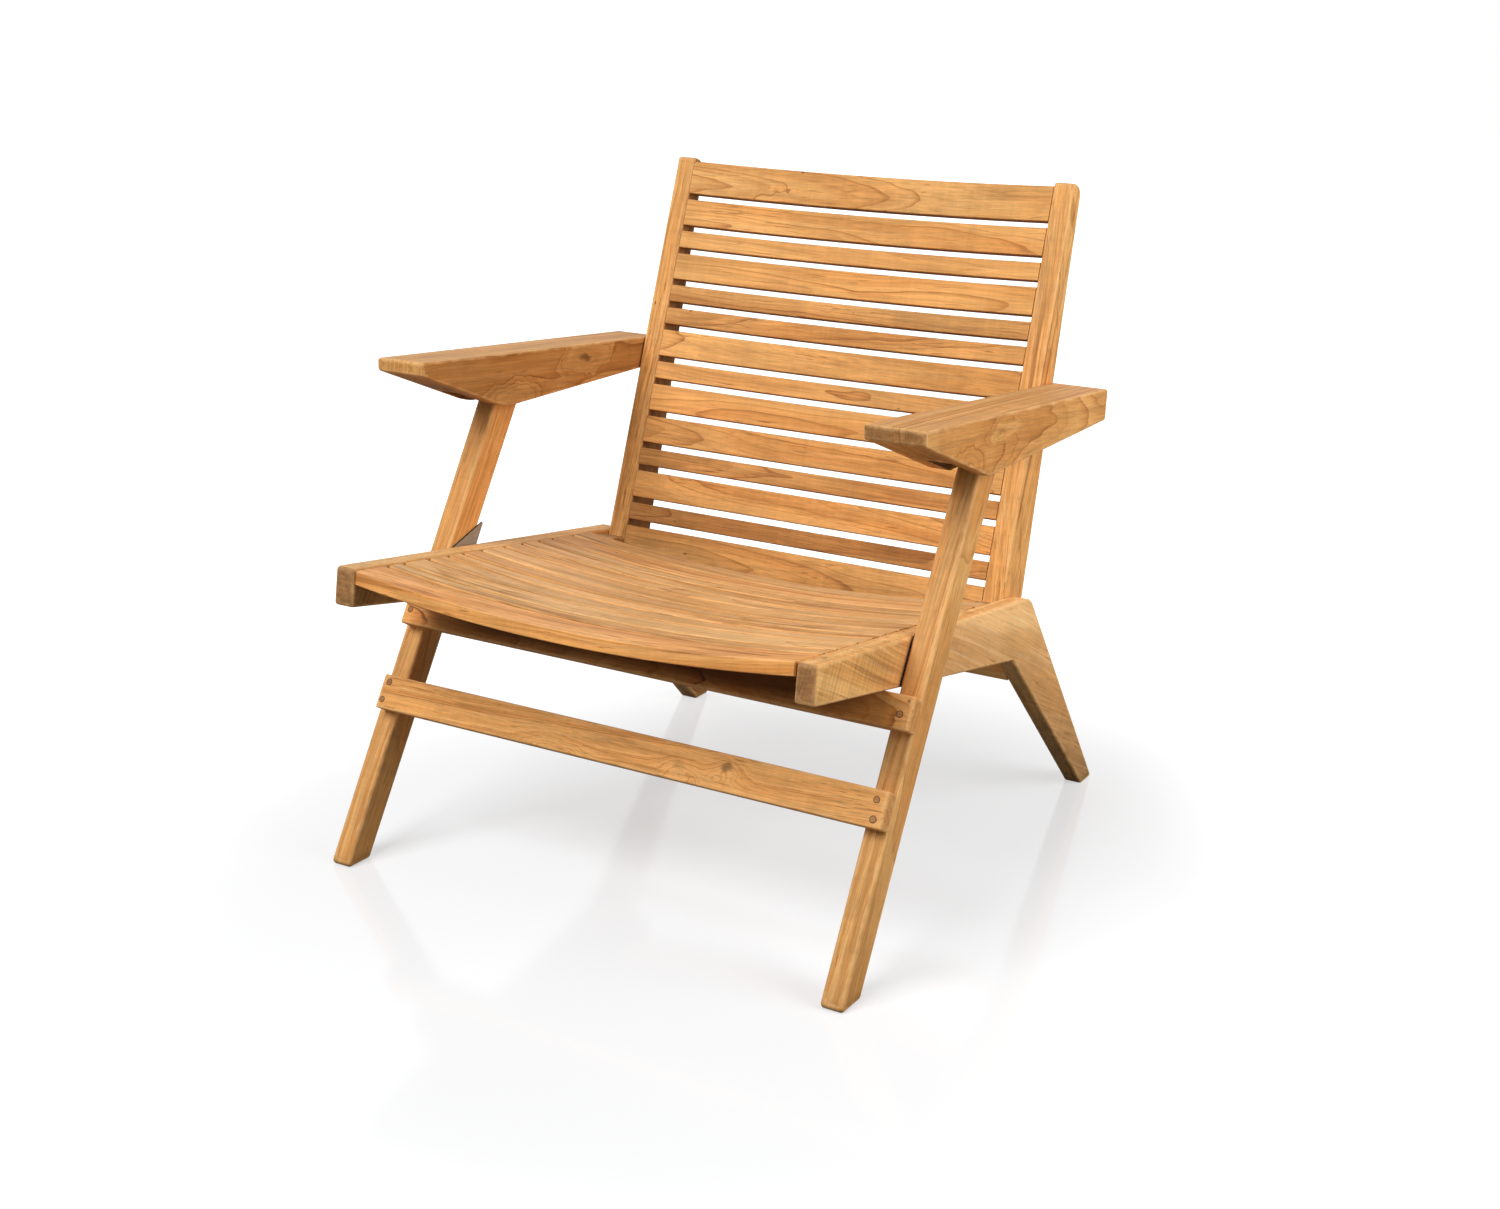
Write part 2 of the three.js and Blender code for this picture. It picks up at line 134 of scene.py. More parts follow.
# Pivots in the side view
BACK_PIVOT = (468.034, 294.515)
LEG_PIVOT = (194.498, 305.008)
ARM_PIVOT = (331.694, 544.954)
ARM_SPAN = (BACK_PIVOT[0] - LEG_PIVOT[0], BACK_PIVOT[1] - LEG_PIVOT[1])

# Slats, from the front of the seat and from the top of the back
SEAT_WIDTHS = {"front": 50.5, "wide": 39, "middle": 29.6, "narrow": 22.4}
SEAT_PATTERN = "front narrow wide middle narrow middle wide middle middle narrow wide wide".split()
SEAT_SLAT_THICKNESS, SEAT_SLAT_EDGE = 16, 2
BACK_WIDTHS = {"top": 44.6, "wide": 35.5, "narrow": 22.9, "bottom": 38.5}
BACK_PATTERN = (
    "top wide narrow wide narrow narrow wide narrow wide wide narrow wide narrow bottom".split()
)
BACK_SLAT_THICKNESS, BACK_SLAT_EDGE = 14, 1.6
# How light each back slat is against the others, from the top.
BACK_LIGHTNESS = (
    -0.1, 0.2, 0.0, 0.15, -0.6, -0.55, -0.1,
    -0.35, 0.1, -0.1, -0.8, 0.0, -1.05, -0.3,
)
# The front seat slat is the lightest; the others differ by chance.
SEAT_FRONT_TONE = (0.28, 0.8, 0.5)

# The camera, worked out from the chair's straight edges
CAMERA_PLACE = (1.2587, -2.0806, 1.0475)
CAMERA_AZIMUTH, CAMERA_ELEVATION, CAMERA_ROLL = (math.radians(a) for a in (30.3727, 12.7007, 0.7794))
CAMERA_LENS, CAMERA_WIDTH = 49.945, 36
CAMERA_SHIFT = (-0.01625, -0.1148)


def srgb(red, green, blue):
    """A colour as it shows on a screen, 0 to 255, turned into Blender's linear one."""
    return tuple(
        c / 255 / 12.92 if c <= 10 else ((c / 255 + 0.055) / 1.055) ** 2.4 for c in (red, green, blue)
    )


def metres(values):
    return tuple(value * MM for value in values)


# Properties


def length(name, description, default, low, high):
    """A size that may be changed, given in millimetres."""
    default, low, high = metres((default, low, high))
    return FloatProperty(
        name=name, description=description, default=default, min=low, max=high,
        subtype="DISTANCE", unit="LENGTH",
    )


def colour(name, description, default):
    """A colour that may be changed."""
    return FloatVectorProperty(
        name=name, description=description, default=default, size=3, min=0, max=1, subtype="COLOR"
    )


class ArmchairSizes(bpy.types.PropertyGroup):
    """Roundings, slats and plugs that may be changed."""

    board_edge: length("Board edge", "Rounding along the long edges of the boards", 2.4, 0.5, 4)
    board_corner: length("Board corner", "Rounding of the boards' corners in the side view", 4, 1, 8)
    arm_edge: length("Armrest edge", "Rounding along the armrests' edges", 2.2, 0.5, 4)
    seat_dip: length("Seat dip", "How far the middle of the seat lies under its ends", 18, 0, 30)
    back_dip: length("Back dip", "How far the middle of the back lies behind its ends", 18, 0, 30)
    seat_slat_gap: length("Seat slat gap", "Gap between two seat slats", 6, 2, 10)
    back_slat_gap: length("Back slat gap", "Gap between two back slats", 7.85, 2, 12)
    plug_radius: length("Plug radius", "Radius of the wood plugs in the stretchers", 4, 2, 6)
    slat_steps: IntProperty(
        name="Slat steps", description="Pieces that a slat's curve is made of", default=36, min=8, max=96
    )


class ArmchairFinish(bpy.types.PropertyGroup):
    """Colours of the wood and the metal, and how strongly the grain shows."""

    light_wood: colour("Light wood", "Teak between the growth rings", srgb(236, 176, 104))
    deep_wood: colour("Deep wood", "Broad darker bands of the teak", srgb(212, 143, 72))
    ring_wood: colour("Ring line", "Thin lines of late wood", srgb(140, 82, 34))
    # Pale wood: thin pale threads in the grain, and rubbed edges, partly a painted highlight along lit edges.
    pale_wood: colour("Pale wood", "Pale threads and rubbed edges, partly painted highlight", srgb(244, 194, 130))
    end_wood: colour("End grain", "Wood cut across the grain", srgb(164, 117, 74))
    plate_metal: colour("Plate", "Dull metal of the leg plates", srgb(176, 163, 145))
    # The plates' cut edges are near black: painted shade of the narrow gap beside the leg.
    plate_edge_shade: colour("Plate edge", "Near-black cut edges of the leg plates, painted shade", srgb(16, 12, 9))
    pin_metal: colour("Pin", "Steel of the pivot pins", srgb(186, 186, 184))
    grain_strength: FloatProperty(
        name="Grain", description="How strongly the grain shows", default=1.0, min=0, max=2,
        subtype="FACTOR",
    )


class ArmchairStudio(bpy.types.PropertyGroup):
    """Floor, surround and lamps."""

    floor_colour: colour("Floor", "Colour of the floor", (0.47, 0.48, 0.49))
    floor_bounce: colour("Floor bounce", "Colour of the light that the floor throws back", (0.22,) * 3)
    floor_glow: FloatProperty(
        name="Floor glow", description="How much of the floor's brightness is its own, as the camera sees it",
        default=0.512, min=0, max=1, subtype="FACTOR",
    )
    sky_strength: FloatProperty(
        name="Surround", description="Strength of the even light from all round",
        default=0.19, min=0, max=2,
    )
    key_power: FloatProperty(
        name="Main lamp", description="Power of the large lamp above the front",
        default=250, min=0, max=2000, unit="POWER",
    )
    fill_power: FloatProperty(
        name="Side lamp", description="Power of the soft lamp at the side",
        default=30, min=0, max=2000, unit="POWER",
    )


# Places

SIDE = Matrix(((0, 0, 1, 0), (1, 0, 0, -FOOTPRINT_MIDDLE), (0, 1, 0, 0), (0, 0, 0, 1)))
TO_METRES = Matrix.Diagonal((MM, MM, MM, 1))
TO_MILLIMETRES = Matrix.Diagonal((1 / MM, 1 / MM, 1 / MM, 1))


def leaned(place, angle):
    """The side view moved to a place and turned forwards or back by an angle."""
    return SIDE @ Matrix.Translation((place[0], place[1], 0)) @ Matrix.Rotation(-angle, 4, "Z")


def facing_front(depth):
    """Turns (across, up, out of the face) into a side view whose face looks forwards at a depth."""
    return Matrix(((0, 0, -1, depth), (0, 1, 0, 0), (1, 0, 0, 0), (0, 0, 0, 1)))


LEG_PLACE = leaned((0, 0), LEG_LEAN)
BACK_PLACE = leaned(BACK_PIVOT, BACK_LEAN)
ARM_PLACE = leaned(ARM_PIVOT, 0)
REAR_LEG_PLACE = leaned(CROTCH, -math.atan2(REAR_FOOT - CROTCH[0], CROTCH[1]))
# Turns (across, along the first side axis, along the second) into the side view's own order.
ACROSS = Matrix(((0, 1, 0, 0), (0, 0, 1, 0), (1, 0, 0, 0), (0, 0, 0, 1)))
SEAT_START = Matrix.Translation((0, SEAT_FRONT[0] - FOOTPRINT_MIDDLE, SEAT_FRONT[1]))
SEAT_PLACE = SEAT_START @ Matrix.Rotation(-SEAT_SLOPE, 4, "X")


# Boards

ARC_STEPS = 6
EDGE_STEPS = 4
# Beside each rounding lies a strip this wide in millimetres, or this share of a narrower face, or the least.
APRON, APRON_SHARE, APRON_LEAST = 6.0, 0.3, 0.05
LEAST_RADIUS = 0.2
SLIGHT_TURN = 0.2
STRAIGHT = 1e-6
# Faces that meet at more than this keep a sharp edge.
CREASE, SLOT_CREASE = math.radians(50), math.radians(32)
# A surface counts as cut across the grain from this much facing it, and wholly so a spread later.
END_FROM, END_SPREAD = 0.55, 0.35


def cross2(a, b):
    return a[0] * b[1] - a[1] * b[0]


def anticlockwise(corners):
    """A closed outline in the order that has its inside on the left."""
    area = sum(cross2(corners[i - 1], corners[i]) for i in range(len(corners)))
    return corners[::-1] if area < 0 else corners


def outline(corners, inset=0.0):
    """Points, outward normals and distance from the rounding, for a closed outline of (u, v, radius)."""
    corners = anticlockwise(corners)
    places = [np.array(c[:2], float) for c in corners]
    count = len(places)
    ways = [(places[(i + 1) % count] - places[i]) for i in range(count)]
    ways = [w / np.linalg.norm(w) for w in ways]
    outs = [np.array((w[1], -w[0])) for w in ways]
    moved = []
    for i in range(count):
        turn = cross2(ways[i - 1], ways[i])
        if abs(turn) < STRAIGHT:
            moved.append(places[i] - outs[i] * inset)
            continue
        start = places[i - 1] - outs[i - 1] * inset
        other = places[i] - outs[i] * inset
        reach = cross2(other - start, ways[i]) / turn
        moved.append(start + ways[i - 1] * reach)
    turns = []
    for i in range(count):
        turns.append(math.atan2(cross2(ways[i - 1], ways[i]), float(np.dot(ways[i - 1], ways[i]))))
    radii = [
        max(corners[i][2] - inset, LEAST_RADIUS) if turns[i] > 0 else corners[i][2] + inset
        for i in range(count)
    ]
    tangents = [abs(radii[i] * math.tan(turns[i] / 2)) for i in range(count)]
    free = []
    for i in range(count):
        after = (i + 1) % count
        free.append(np.linalg.norm(moved[after] - moved[i]) - tangents[i] - tangents[after])
    points, normals, rim = [], [], []
    for i in range(count):
        turn, radius, tangent = turns[i], radii[i], tangents[i]
        aprons = [max(min(APRON, APRON_SHARE * run), APRON_LEAST) for run in (free[i - 1], free[i])]
        sign = 1 if turn > 0 else -1
        start = moved[i] - ways[i - 1] * tangent
        centre = start - sign * outs[i - 1] * radius
        points.append(start - ways[i - 1] * aprons[0])
        normals.append(outs[i - 1])
        rim.append(aprons[0] if abs(turn) > SLIGHT_TURN else APRON)
        for k in range(ARC_STEPS + 1):
            angle = turn * k / ARC_STEPS
            sine, cosine = math.sin(angle), math.cos(angle)
            out = outs[i - 1]
            out = np.array((out[0] * cosine - out[1] * sine, out[0] * sine + out[1] * cosine))
            points.append(centre + sign * out * radius)
            normals.append(out)
            rim.append(0.0 if turn > SLIGHT_TURN else APRON)
        points.append(moved[i] + ways[i] * (tangent + aprons[1]))
        normals.append(outs[i])
        rim.append(aprons[1] if abs(turn) > SLIGHT_TURN else APRON)
    return np.array(points), np.array(normals), np.array(rim)


class Board:
    """Vertices, faces, normals and distance from the edges of one board, in its own millimetres."""

    def __init__(self, corners, low, high, edge):
        self.points, self.normals, self.rims, self.faces = [], [], [], []
        near, far = edge if isinstance(edge, tuple) else (edge, edge)
        apron = min(APRON, APRON_SHARE * (high - low - near - far))
        bends = [math.pi / 2 * k / EDGE_STEPS for k in range(EDGE_STEPS + 1)]
        # each ring round the board has its inset, height, lean of the normal and distance from the edge
        rings = [(near + APRON, low, -1.0, APRON)]
        for t in bends:
            rings.append((near * (1 - math.sin(t)), low + near * (1 - math.cos(t)), -math.cos(t), 0.0))
        rings += [(0.0, low + near + apron, 0.0, apron), (0.0, high - far - apron, 0.0, apron)]
        for t in reversed(bends):
            rings.append((far * (1 - math.sin(t)), high - far * (1 - math.cos(t)), math.cos(t), 0.0))
        rings += [(far + APRON, high, 1.0, APRON)]
        for inset, height, lean, rim in rings:
            flat, outs, rims = outline(corners, inset)
            share = math.sqrt(max(0.0, 1 - lean * lean))
            for place, out, corner_rim in zip(flat, outs, rims):
                self.points.append((place[0], place[1], height))
                self.normals.append((out[0] * share, out[1] * share, lean))
                self.rims.append(min(rim, corner_rim) if abs(lean) < 0.99 or rim == 0 else APRON)
        count = len(self.points) // len(rings)
        for ring in range(len(rings) - 1):
            for k in range(count):
                a, b = ring * count + k, ring * count + (k + 1) % count
                self.faces.append((a, b, b + count, a + count))
        self.faces.append(tuple(range(count))[::-1])
        self.faces.append(tuple(range(len(self.points) - count, len(self.points))))


class Timber:
    """Where a board was cut from its log, and how light and red it is."""

    def __init__(
        self, along, flat, seed, tone=0.0, warmth=0.0,
        heart=None, tilt=None, centre=(0, 0, 0), ends=1.0, drift=(0, 0),
    ):
        draw = random.Random(seed)
        self.along = Vector(along).normalized()
        self.side = self.along.cross(Vector(flat)).normalized()
        self.flat = self.side.cross(self.along).normalized()
        self.heart = heart or (draw.uniform(-25, 25), draw.uniform(28, 70))
        chance = (draw.uniform(-0.035, 0.035), draw.uniform(-0.06, 0.06))
        self.tilt = tilt or chance
        self.start = draw.uniform(0, 5000)
        lightness, redness = tone + draw.uniform(-0.12, 0.12), warmth + draw.uniform(-0.15, 0.15)
        self.tone = (lightness, redness, draw.uniform(0, 1))
        self.centre = Vector(centre)
        self.ends = ends
        self.drift = drift

    def grain(self, place):
        """Place in the log, in metres: along it, and across it from its heart."""
        away = Vector(place) / MM - self.centre
        run, side, flat = away.dot(self.along), away.dot(self.side), away.dot(self.flat)
        side += self.heart[0] + run * self.tilt[0]
        flat += self.heart[1] + run * self.tilt[1]
        return metres((run + self.start, side, flat))

    def shade(self, place):
        """Lightness, warmth and a chance number; the lightness may drift backwards and upwards."""
        drift = self.drift[0] * place[1] + self.drift[1] * place[2]
        return (self.tone[0] + drift, *self.tone[1:])

    def end_share(self, normal):
        """How far a surface is cut across the grain, 0 to 1."""
        facing = abs(Vector(normal).dot(self.along))
        return min(max((facing - END_FROM) / END_SPREAD, 0), 1) * self.ends


def prism(shape, low, high):
    """Vertices and faces of a plain prism over a closed outline."""
    shape = anticlockwise(shape)
    count = len(shape)
    vertices = [(u, v, w) for w in (low, high) for u, v in shape]
    faces = [tuple(range(count))[::-1], tuple(range(count, 2 * count))]
    faces += [(k, (k + 1) % count, (k + 1) % count + count, k + count) for k in range(count)]
    return vertices, faces


def new_piece(name, vertices, faces):
    """A mesh object made of plain vertices and faces."""
    mesh = bpy.data.meshes.new(name)
    mesh.from_pydata(vertices, [], faces)
    mesh.update()
    return new_object(name, mesh)


def new_object(name, data):
    """An object for a mesh, lamp or camera, in the scene."""
    item = bpy.data.objects.new(name, data)
    bpy.context.scene.collection.objects.link(item)
    return item


def evaluated_mesh(item):
    """What an object's modifiers make of it, as a plain mesh."""
    bpy.context.view_layer.update()
    graph = bpy.context.evaluated_depsgraph_get()
    return bpy.data.meshes.new_from_object(item.evaluated_get(graph))


def cut_away(piece, vertices, faces):
    """Takes a closed shape out of a piece."""
    knife = new_piece(piece.name + "_knife", vertices, faces)
    modifier = piece.modifiers.new("Slot", "BOOLEAN")
    modifier.operation, modifier.solver, modifier.object = "DIFFERENCE", "EXACT", knife
    result = evaluated_mesh(piece)
    piece.modifiers.remove(modifier)
    bpy.data.objects.remove(knife)
    whole = piece.data
    piece.data = result
    bpy.data.meshes.remove(whole)
    result.name = piece.name
    return result


def set_attribute(mesh, name, kind, values):
    """Writes one value for each of a mesh's points."""
    layer = mesh.attributes.get(name) or mesh.attributes.new(name, kind, "POINT")
    flat = np.asarray(values, dtype=np.float32).ravel()
    layer.data.foreach_set("value" if kind == "FLOAT" else "vector", flat)


def weighted_normals(mesh, limit=CREASE):
    """Smooth shading in which large flat faces stay flat and sharp edges stay sharp."""
    count = len(mesh.polygons)
    mesh.polygons.foreach_set("use_smooth", [True] * count)
    areas = np.empty(count)
    mesh.polygons.foreach_get("area", areas)
    facing = np.empty(count * 3)
    mesh.polygons.foreach_get("normal", facing)
    facing = facing.reshape(-1, 3)
    loops = [[] for _ in mesh.vertices]
    for face in mesh.polygons:
        for corner in face.loop_indices:
            loops[mesh.loops[corner].vertex_index].append((corner, face.index))
    result = np.zeros((len(mesh.loops), 3))
    least = math.cos(limit)
    for met in loops:
        for corner, face in met:
            total = np.zeros(3)
            for _, other in met:
                if facing[other] @ facing[face] > least:
                    total += facing[other] * areas[other]
            size = np.linalg.norm(total)
            result[corner] = total / size if size > 1e-12 else facing[face]
    mesh.normals_split_custom_set([tuple(normal) for normal in result])


def board_piece(
    name, board, place, timber, material, body, nodes,
    mirror=False, opening=None, inner_painted_shade=0.0, under_painted_shade=0.25, shaded=None,
):
    """A board as a finished piece, on its body and in place of its CAD nodes, less an opening if given."""
    flip = Matrix.Diagonal((-1, 1, 1, 1)) if mirror else Matrix.Identity(4)
    matrix = flip @ (TO_METRES @ place)
    spin = matrix.to_3x3()
    vertices = [tuple(matrix @ Vector(p)) for p in board.points]
    normals = [(spin @ Vector(n)).normalized() for n in board.normals]
    piece = new_piece(name, vertices, [f[::-1] for f in board.faces] if mirror else board.faces)
    mesh = piece.data
    inwards = 1 if mirror else -1
    # painted shade: faces that turn inwards and faces that turn downwards are darker
    painted_shade = [max(inner_painted_shade * max(n.x * inwards, 0.0) ** 2, under_painted_shade * max(-n.z, 0.0)) for n in normals]
    set_attribute(mesh, "grain", "FLOAT_VECTOR", [timber.grain(v) for v in vertices])
    set_attribute(mesh, "tone", "FLOAT_VECTOR", [timber.shade(v) for v in vertices])
    set_attribute(mesh, "rim", "FLOAT", metres(board.rims))
    set_attribute(mesh, "endcut", "FLOAT", [timber.end_share(n) for n in normals])
    set_attribute(mesh, "upward", "FLOAT", [max(n.z, 0.0) ** 3 for n in normals])
    set_attribute(mesh, "painted_shade", "FLOAT", painted_shade)
    # the share of the seat's painted shadow that this board takes
    if shaded is not None:
        set_attribute(mesh, "shaded", "FLOAT", [shaded] * len(vertices))
    if opening is not None:
        knife, sides = opening
        sides = [f[::-1] for f in sides] if mirror else sides
        mesh = cut_away(piece, [tuple(matrix @ Vector(p)) for p in knife], sides)
        weighted_normals(mesh, SLOT_CREASE)
        places = [v.co for v in mesh.vertices]
        old = {tuple(round(c, 6) for c in v) for v in vertices}
        # the slot's new walls take a darker tone: painted shade inside the slot
        dark = (timber.tone[0] - SLOT_PAINTED_SHADE, *timber.tone[1:])
        tones = [timber.tone if tuple(round(c, 6) for c in v) in old else dark for v in places]
        set_attribute(mesh, "grain", "FLOAT_VECTOR", [timber.grain(v) for v in places])
        set_attribute(mesh, "tone", "FLOAT_VECTOR", tones)
    else:
        mesh.polygons.foreach_set("use_smooth", [True] * len(mesh.polygons))
        mesh.normals_split_custom_set_from_vertices([tuple(n) for n in normals])
    mesh.materials.append(material)
    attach(piece, body)
    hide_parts(*nodes)


# Node helpers

HALF = (0.5, 0.5, 0.5)


def has_parts(value):
    """Whether a wire or a plain value is a vector or a colour."""
    if isinstance(value, Wire):
        return value.socket.type in ("VECTOR", "RGBA")
    return isinstance(value, tuple)


class Wire:
    """A node's output. Plain signs between wires and numbers add the nodes that work them out."""

    def __init__(self, nodes, socket):
        self.nodes, self.socket = nodes, socket

    def reckon(self, operation, first, second):
        if not has_parts(self):
            return self.nodes.math(operation, first, second)
        if operation == "MULTIPLY" and not has_parts(second):
            return self.nodes.vector("SCALE", first, scale=second)
        return self.nodes.vector(operation, first, second)

    def __add__(self, other):
        return self.reckon("ADD", self, other)

    def __radd__(self, other):
        return self.reckon("ADD", other, self)

    def __sub__(self, other):
        return self.reckon("SUBTRACT", self, other)

    def __rsub__(self, other):
        return self.reckon("SUBTRACT", other, self)

    def __mul__(self, other):
        return self.reckon("MULTIPLY", self, other)

    def __truediv__(self, other):
        return self.reckon("DIVIDE", self, other)

    def __rtruediv__(self, other):
        return self.reckon("DIVIDE", other, self)

    def __abs__(self):
        return self.nodes.math("ABSOLUTE", self)


class Nodes:
    """Short ways to add nodes to one tree and join them."""

    def __init__(self, tree):
        self.tree = tree

    def add(self, kind, settings=None, inputs=None):
        node = self.tree.nodes.new(kind)
        for key, value in (settings or {}).items():
            setattr(node, key, value)
        for key, value in (inputs or {}).items():
            self.put(node.inputs[key], value)
        return node

    def out(self, kind, settings=None, inputs=None, output=0):
        """One output of a new node."""
        return Wire(self, self.add(kind, settings, inputs).outputs[output])

    def put(self, socket, value):
        if isinstance(value, Wire):
            self.tree.links.new(value.socket, socket)
        elif value is not None:
            socket.default_value = value

    def math(self, operation, *values, clamp=False):
        inputs = dict(enumerate(values))
        return self.out("ShaderNodeMath", {"operation": operation, "use_clamp": clamp}, inputs)

    def most(self, *values):
        return self.math("MAXIMUM", *values)

    def vector(self, operation, *values, scale=None):
        node = self.add("ShaderNodeVectorMath", {"operation": operation}, dict(enumerate(values)))
        if scale is not None:
            self.put(node.inputs["Scale"], scale)
        return Wire(self, node.outputs["Value" if operation == "LENGTH" else "Vector"])

    def length(self, value):
        return self.vector("LENGTH", value)

    def noise(self, place, detail=2.0, rough=0.5, scale=1.0, output=0):
        """Noise over a place in space, or along a single number."""
        shape, socket = ("3D", "Vector") if has_parts(place) else ("1D", "W")
        inputs = {"Scale": scale, "Detail": detail, "Roughness": rough, socket: place}
        return self.out("ShaderNodeTexNoise", {"noise_dimensions": shape}, inputs, output)

    def ramp(self, value, low, high, to_low=0.0, to_high=1.0):
        names = ("Value", "From Min", "From Max", "To Min", "To Max")
        inputs = dict(zip(names, (value, low, high, to_low, to_high)))
        return self.out("ShaderNodeMapRange", {"interpolation_type": "SMOOTHSTEP"}, inputs, "Result")

    def mix(self, share, a, b):
        """Two colours mixed."""
        a, b = (value if isinstance(value, Wire) else (*value[:3], 1) for value in (a, b))
        return self.out("ShaderNodeMix", {"data_type": "RGBA"}, {0: share, 6: a, 7: b}, 2)

    def split(self, value):
        return [Wire(self, part) for part in self.add("ShaderNodeSeparateXYZ", inputs={0: value}).outputs]

    def combine(self, x=None, y=None, z=None):
        return self.out("ShaderNodeCombineXYZ", inputs={0: x, 1: y, 2: z})

    def attribute(self, name, output="Fac"):
        return self.out("ShaderNodeAttribute", {"attribute_name": name}, output=output)

    def place(self):
        """The place on the piece, in metres."""
        return self.out("ShaderNodeTexCoord", output="Object")

    def given(self):
        """The inputs of the node group by name."""
        return {socket.name: Wire(self, socket) for socket in self.add("NodeGroupInput").outputs}

    def named(self, name, kind):
        """A value that the points carry, in a tree for geometry."""
        return self.out("GeometryNodeInputNamedAttribute", {"data_type": kind}, {"Name": name}, "Attribute")

    def store(self, geometry, name, kind, value):
        """Geometry whose points carry one more value."""
        inputs = {"Geometry": geometry, "Name": name}
        node = self.add("GeometryNodeStoreNamedAttribute", {"data_type": kind}, inputs)
        self.put(node.inputs["Value"], value)
        return Wire(self, node.outputs["Geometry"])

    def surface(self, colour, rough, height, relief, constants):
        """A material's shader and output, with a relief of a strength and a depth."""
        strength, depth = relief
        bump = self.out("ShaderNodeBump", inputs={"Strength": strength, "Distance": depth, "Height": height})
        inputs = {"Base Color": colour, "Roughness": rough, "Normal": bump, **constants}
        shader = self.out("ShaderNodeBsdfPrincipled", inputs=inputs)
        self.add("ShaderNodeOutputMaterial", inputs={"Surface": shader})


def new_material(name):
    material = bpy.data.materials.new(name)
    material.use_nodes = True
    material.node_tree.nodes.clear()
    return material, Nodes(material.node_tree)


def new_tree(name, kind, inputs, outputs):
    """An empty node group, with inputs of a kind and a default and outputs of a kind."""
    tree = bpy.data.node_groups.new(name, kind)
    for label, (socket_kind, value) in inputs.items():
        socket = tree.interface.new_socket(label, in_out="INPUT", socket_type="NodeSocket" + socket_kind)
        if value is not None:
            socket.default_value = value
    for label, socket_kind in outputs.items():
        tree.interface.new_socket(label, in_out="OUTPUT", socket_type="NodeSocket" + socket_kind)
    return tree, Nodes(tree)


# Teak

# Painted shadow of the seat: heights in metres where it darkens the board below, reach from the middle, tint.
SEAT_SHADOW_HEIGHTS = (0.264, 0.283)
SEAT_SHADOW_REACH = (0.2, 0.31)
SEAT_SHADOW_TINT = (0.45, 0.4, 0.3)
# Places from the front in metres between which the side frames' saw marks fade.
MARKED_FRONT = (-0.3, -0.12)
FAINT_MARKS = 0.1
# Height in metres up to which the feet darken.
FOOT_DARK_HEIGHT = 0.016
# A slat wider than this, in metres, is the front one of the seat.
FRONT_SLAT_WIDTH = 0.045

KNOT_BROWN = srgb(104, 62, 30)
PIN_KNOT_BROWN = srgb(78, 46, 22)
END_STAIN = srgb(58, 38, 24)
PLUG_BROWN, PLUG_RIM = srgb(122, 76, 40), srgb(62, 36, 18)


